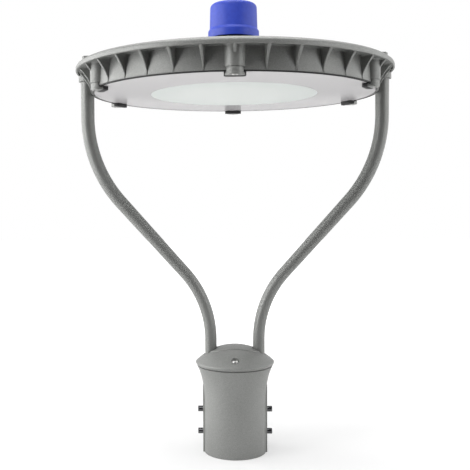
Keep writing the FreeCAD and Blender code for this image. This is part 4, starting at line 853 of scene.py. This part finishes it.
def softbox(name, spot, target, wide, high, power):
    """Soft rectangular lamp that points at a target."""
    lamp = bpy.data.lights.new(name, "AREA")
    lamp.shape = "RECTANGLE"
    lamp.size = wide
    lamp.size_y = high
    lamp.energy = power
    box = bpy.data.objects.new(name, lamp)
    bpy.context.scene.collection.objects.link(box)
    way = Vector(target) - Vector(spot)
    turn = way.to_track_quat("-Z", "Y").to_matrix().to_4x4()
    box.matrix_world = Matrix.Translation(spot) @ turn


def backdrop(world):
    """Room that is bright behind the lamp and dim behind the camera, and looks white."""
    world.use_nodes = True
    tree = world.node_tree
    tree.nodes.clear()
    path = add_node(tree, "ShaderNodeLightPath")
    # the room behind the camera is dim, so the lamp's front is its darker side
    coords = add_node(tree, "ShaderNodeTexCoord")
    parts = add_node(tree, "ShaderNodeSeparateXYZ", None, None,
                     {"Vector": coords.outputs["Generated"]})
    depth = parts.outputs["Y"]
    light = mapped(tree, depth, {"From Min": -0.7, "From Max": 0.3, "To Min": 0.08, "To Max": 0.7})
    room = add_node(tree, "ShaderNodeBackground", None, {"Color": hex_colour(WHITE)},
                    {"Strength": light})
    paper = add_node(tree, "ShaderNodeBackground", None,
                     {"Color": hex_colour(WHITE), "Strength": 1.0})
    # metal mirrors the white paper behind the lamp, and the dim room behind the camera
    mirrored = maths(tree, "MULTIPLY", path.outputs["Is Glossy Ray"],
                     maths(tree, "GREATER_THAN", depth, 0.3))
    through = maths(tree, "MAXIMUM", path.outputs["Is Camera Ray"],
                    path.outputs["Is Transmission Ray"])
    mix = add_node(tree, "ShaderNodeMixShader", None, None,
                   {0: maths(tree, "MAXIMUM", through, mirrored), 1: room.outputs["Background"],
                    2: paper.outputs["Background"]})
    add_node(tree, "ShaderNodeOutputWorld", None, None, {"Surface": mix.outputs["Shader"]})


def paper_floor(sheet):
    """White paper that keeps the shadow round the lamp's foot and fades to plain white."""
    material = bpy.data.materials.new("white_paper_floor")
    material.use_nodes = True
    tree = material.node_tree
    tree.nodes.clear()
    path = add_node(tree, "ShaderNodeLightPath")
    paint = add_node(tree, "ShaderNodeBsdfDiffuse", None, {"Color": hex_colour("F2F2F2")})
    place = add_node(tree, "ShaderNodeTexCoord")
    far = add_node(tree, "ShaderNodeVectorMath", {"operation": "LENGTH"}, None,
                   {0: place.outputs["Object"]})
    glow = mapped(tree, far.outputs["Value"],
                  {"From Min": 0.35, "From Max": 1.2, "To Min": 0.35, "To Max": 1.0})
    lift = add_node(tree, "ShaderNodeEmission", None, {"Color": hex_colour(WHITE)},
                    {"Strength": glow})
    seen_paint = add_node(tree, "ShaderNodeBsdfDiffuse", None, {"Color": hex_colour("BEBEBE")})
    bright = add_node(tree, "ShaderNodeAddShader", None, None,
                      {0: seen_paint.outputs["BSDF"], 1: lift.outputs["Emission"]})
    mix = add_node(tree, "ShaderNodeMixShader", None, None,
                   {0: path.outputs["Is Camera Ray"], 1: paint.outputs["BSDF"],
                    2: bright.outputs["Shader"]})
    add_node(tree, "ShaderNodeOutputMaterial", None, None, {"Surface": mix.outputs["Shader"]})
    sheet.materials.append(material)


def studio():
    """White floor and backdrop, two lamps on each side, one above and one in front."""
    scene = bpy.context.scene
    scene.view_settings.view_transform = "Standard"
    world = bpy.data.worlds.new("studio")
    scene.world = world
    backdrop(world)
    sheet = bpy.data.meshes.new("floor")
    corners = [(-6, -0.5, 0), (6, -0.5, 0), (6, 6, 0), (-6, 6, 0)]
    sheet.from_pydata(corners, [], [(0, 1, 2, 3)])
    ground = bpy.data.objects.new("floor", sheet)
    scene.collection.objects.link(ground)
    paper_floor(sheet)
    for lamp in SOFTBOXES:
        softbox(*lamp)


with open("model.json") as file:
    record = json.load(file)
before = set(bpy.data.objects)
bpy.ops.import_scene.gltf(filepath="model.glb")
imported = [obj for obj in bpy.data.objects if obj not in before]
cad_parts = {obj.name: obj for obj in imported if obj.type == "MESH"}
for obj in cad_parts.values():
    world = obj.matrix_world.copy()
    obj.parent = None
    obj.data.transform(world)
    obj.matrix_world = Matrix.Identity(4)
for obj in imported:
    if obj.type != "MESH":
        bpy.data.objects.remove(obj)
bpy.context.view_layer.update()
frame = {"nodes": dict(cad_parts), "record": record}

RING = ring_tree()
coat = powder_coat("grey_flake_powder_coat", "757674", "7F807E", "8B8C89")
# the drawn tube under the coat is smoother than a casting, so the arms are a little glossier; the
# same paint is given darker greys here, painted shade for the arms' darker middle
shaded_tube_coat = powder_coat("grey_powder_coat_on_drawn_tube_painted_darker", "6F706E", "787977", "828380",
                        roughness=0.45, metallic=0.4, relief=0.03)
steel = bright_steel()
black_steel = dark_screw()
border_glass = printed_glass()
blue = moulded_plastic("blue_moulded_polycarbonate", "1B36A6", "203DB0", 0.5)
black = moulded_plastic("black_moulded_nylon", "1B1B1C", "262627", 0.5)
rubber = moulded_plastic("black_silicone_rubber", "1E1E1F", "29292A", 0.72)
brass = rolled_metal("rolled_brass", "B08A45", "C7A055", 0.3)
aluminium = rolled_metal("plain_rolled_aluminium", "B4B5B6", "CACBCB", 0.38)
white_mask = moulded_plastic("white_solder_mask", "DCDEDB", "E8EAE6", 0.35)
white_paint = moulded_plastic("white_reflector_paint", "E4E5E3", "EFF0ED", 0.45)
phosphor = moulded_plastic("yellow_led_phosphor", "D8B33A", "E6C44C", 0.3)

finishes = {
    "grey_powder_coat": coat,
    "stainless_steel": steel,
    "black_oxide_steel": black_steel,
    "printed_glass": border_glass,
    "silicone_rubber": rubber,
    "white_board": white_mask,
    "led_phosphor": phosphor,
    "white_reflector": white_paint,
    "driver_case": aluminium,
    "black_plastic": black,
    "plain_aluminium": aluminium,
    "brass": brass,
    "blue_plastic": blue,
}
for entry in frame["record"]["subparts"]:
    node = frame["nodes"][entry["node"]]
    node.data.materials.clear()
    node.data.materials.append(finishes[entry["material_slot"]])

collar(coat)
set_screws(black_steel)
lid(coat)
lid_screws(steel)
arm(shaded_tube_coat, 1)
arm(shaded_tube_coat, -1)
head_casting(coat)
arm_bolts(coat)
glass(border_glass, rubber)
clips(steel, coat, rubber)
driver_cover(coat, steel)
cap_and_socket(blue, black, rubber)
camera()
studio()
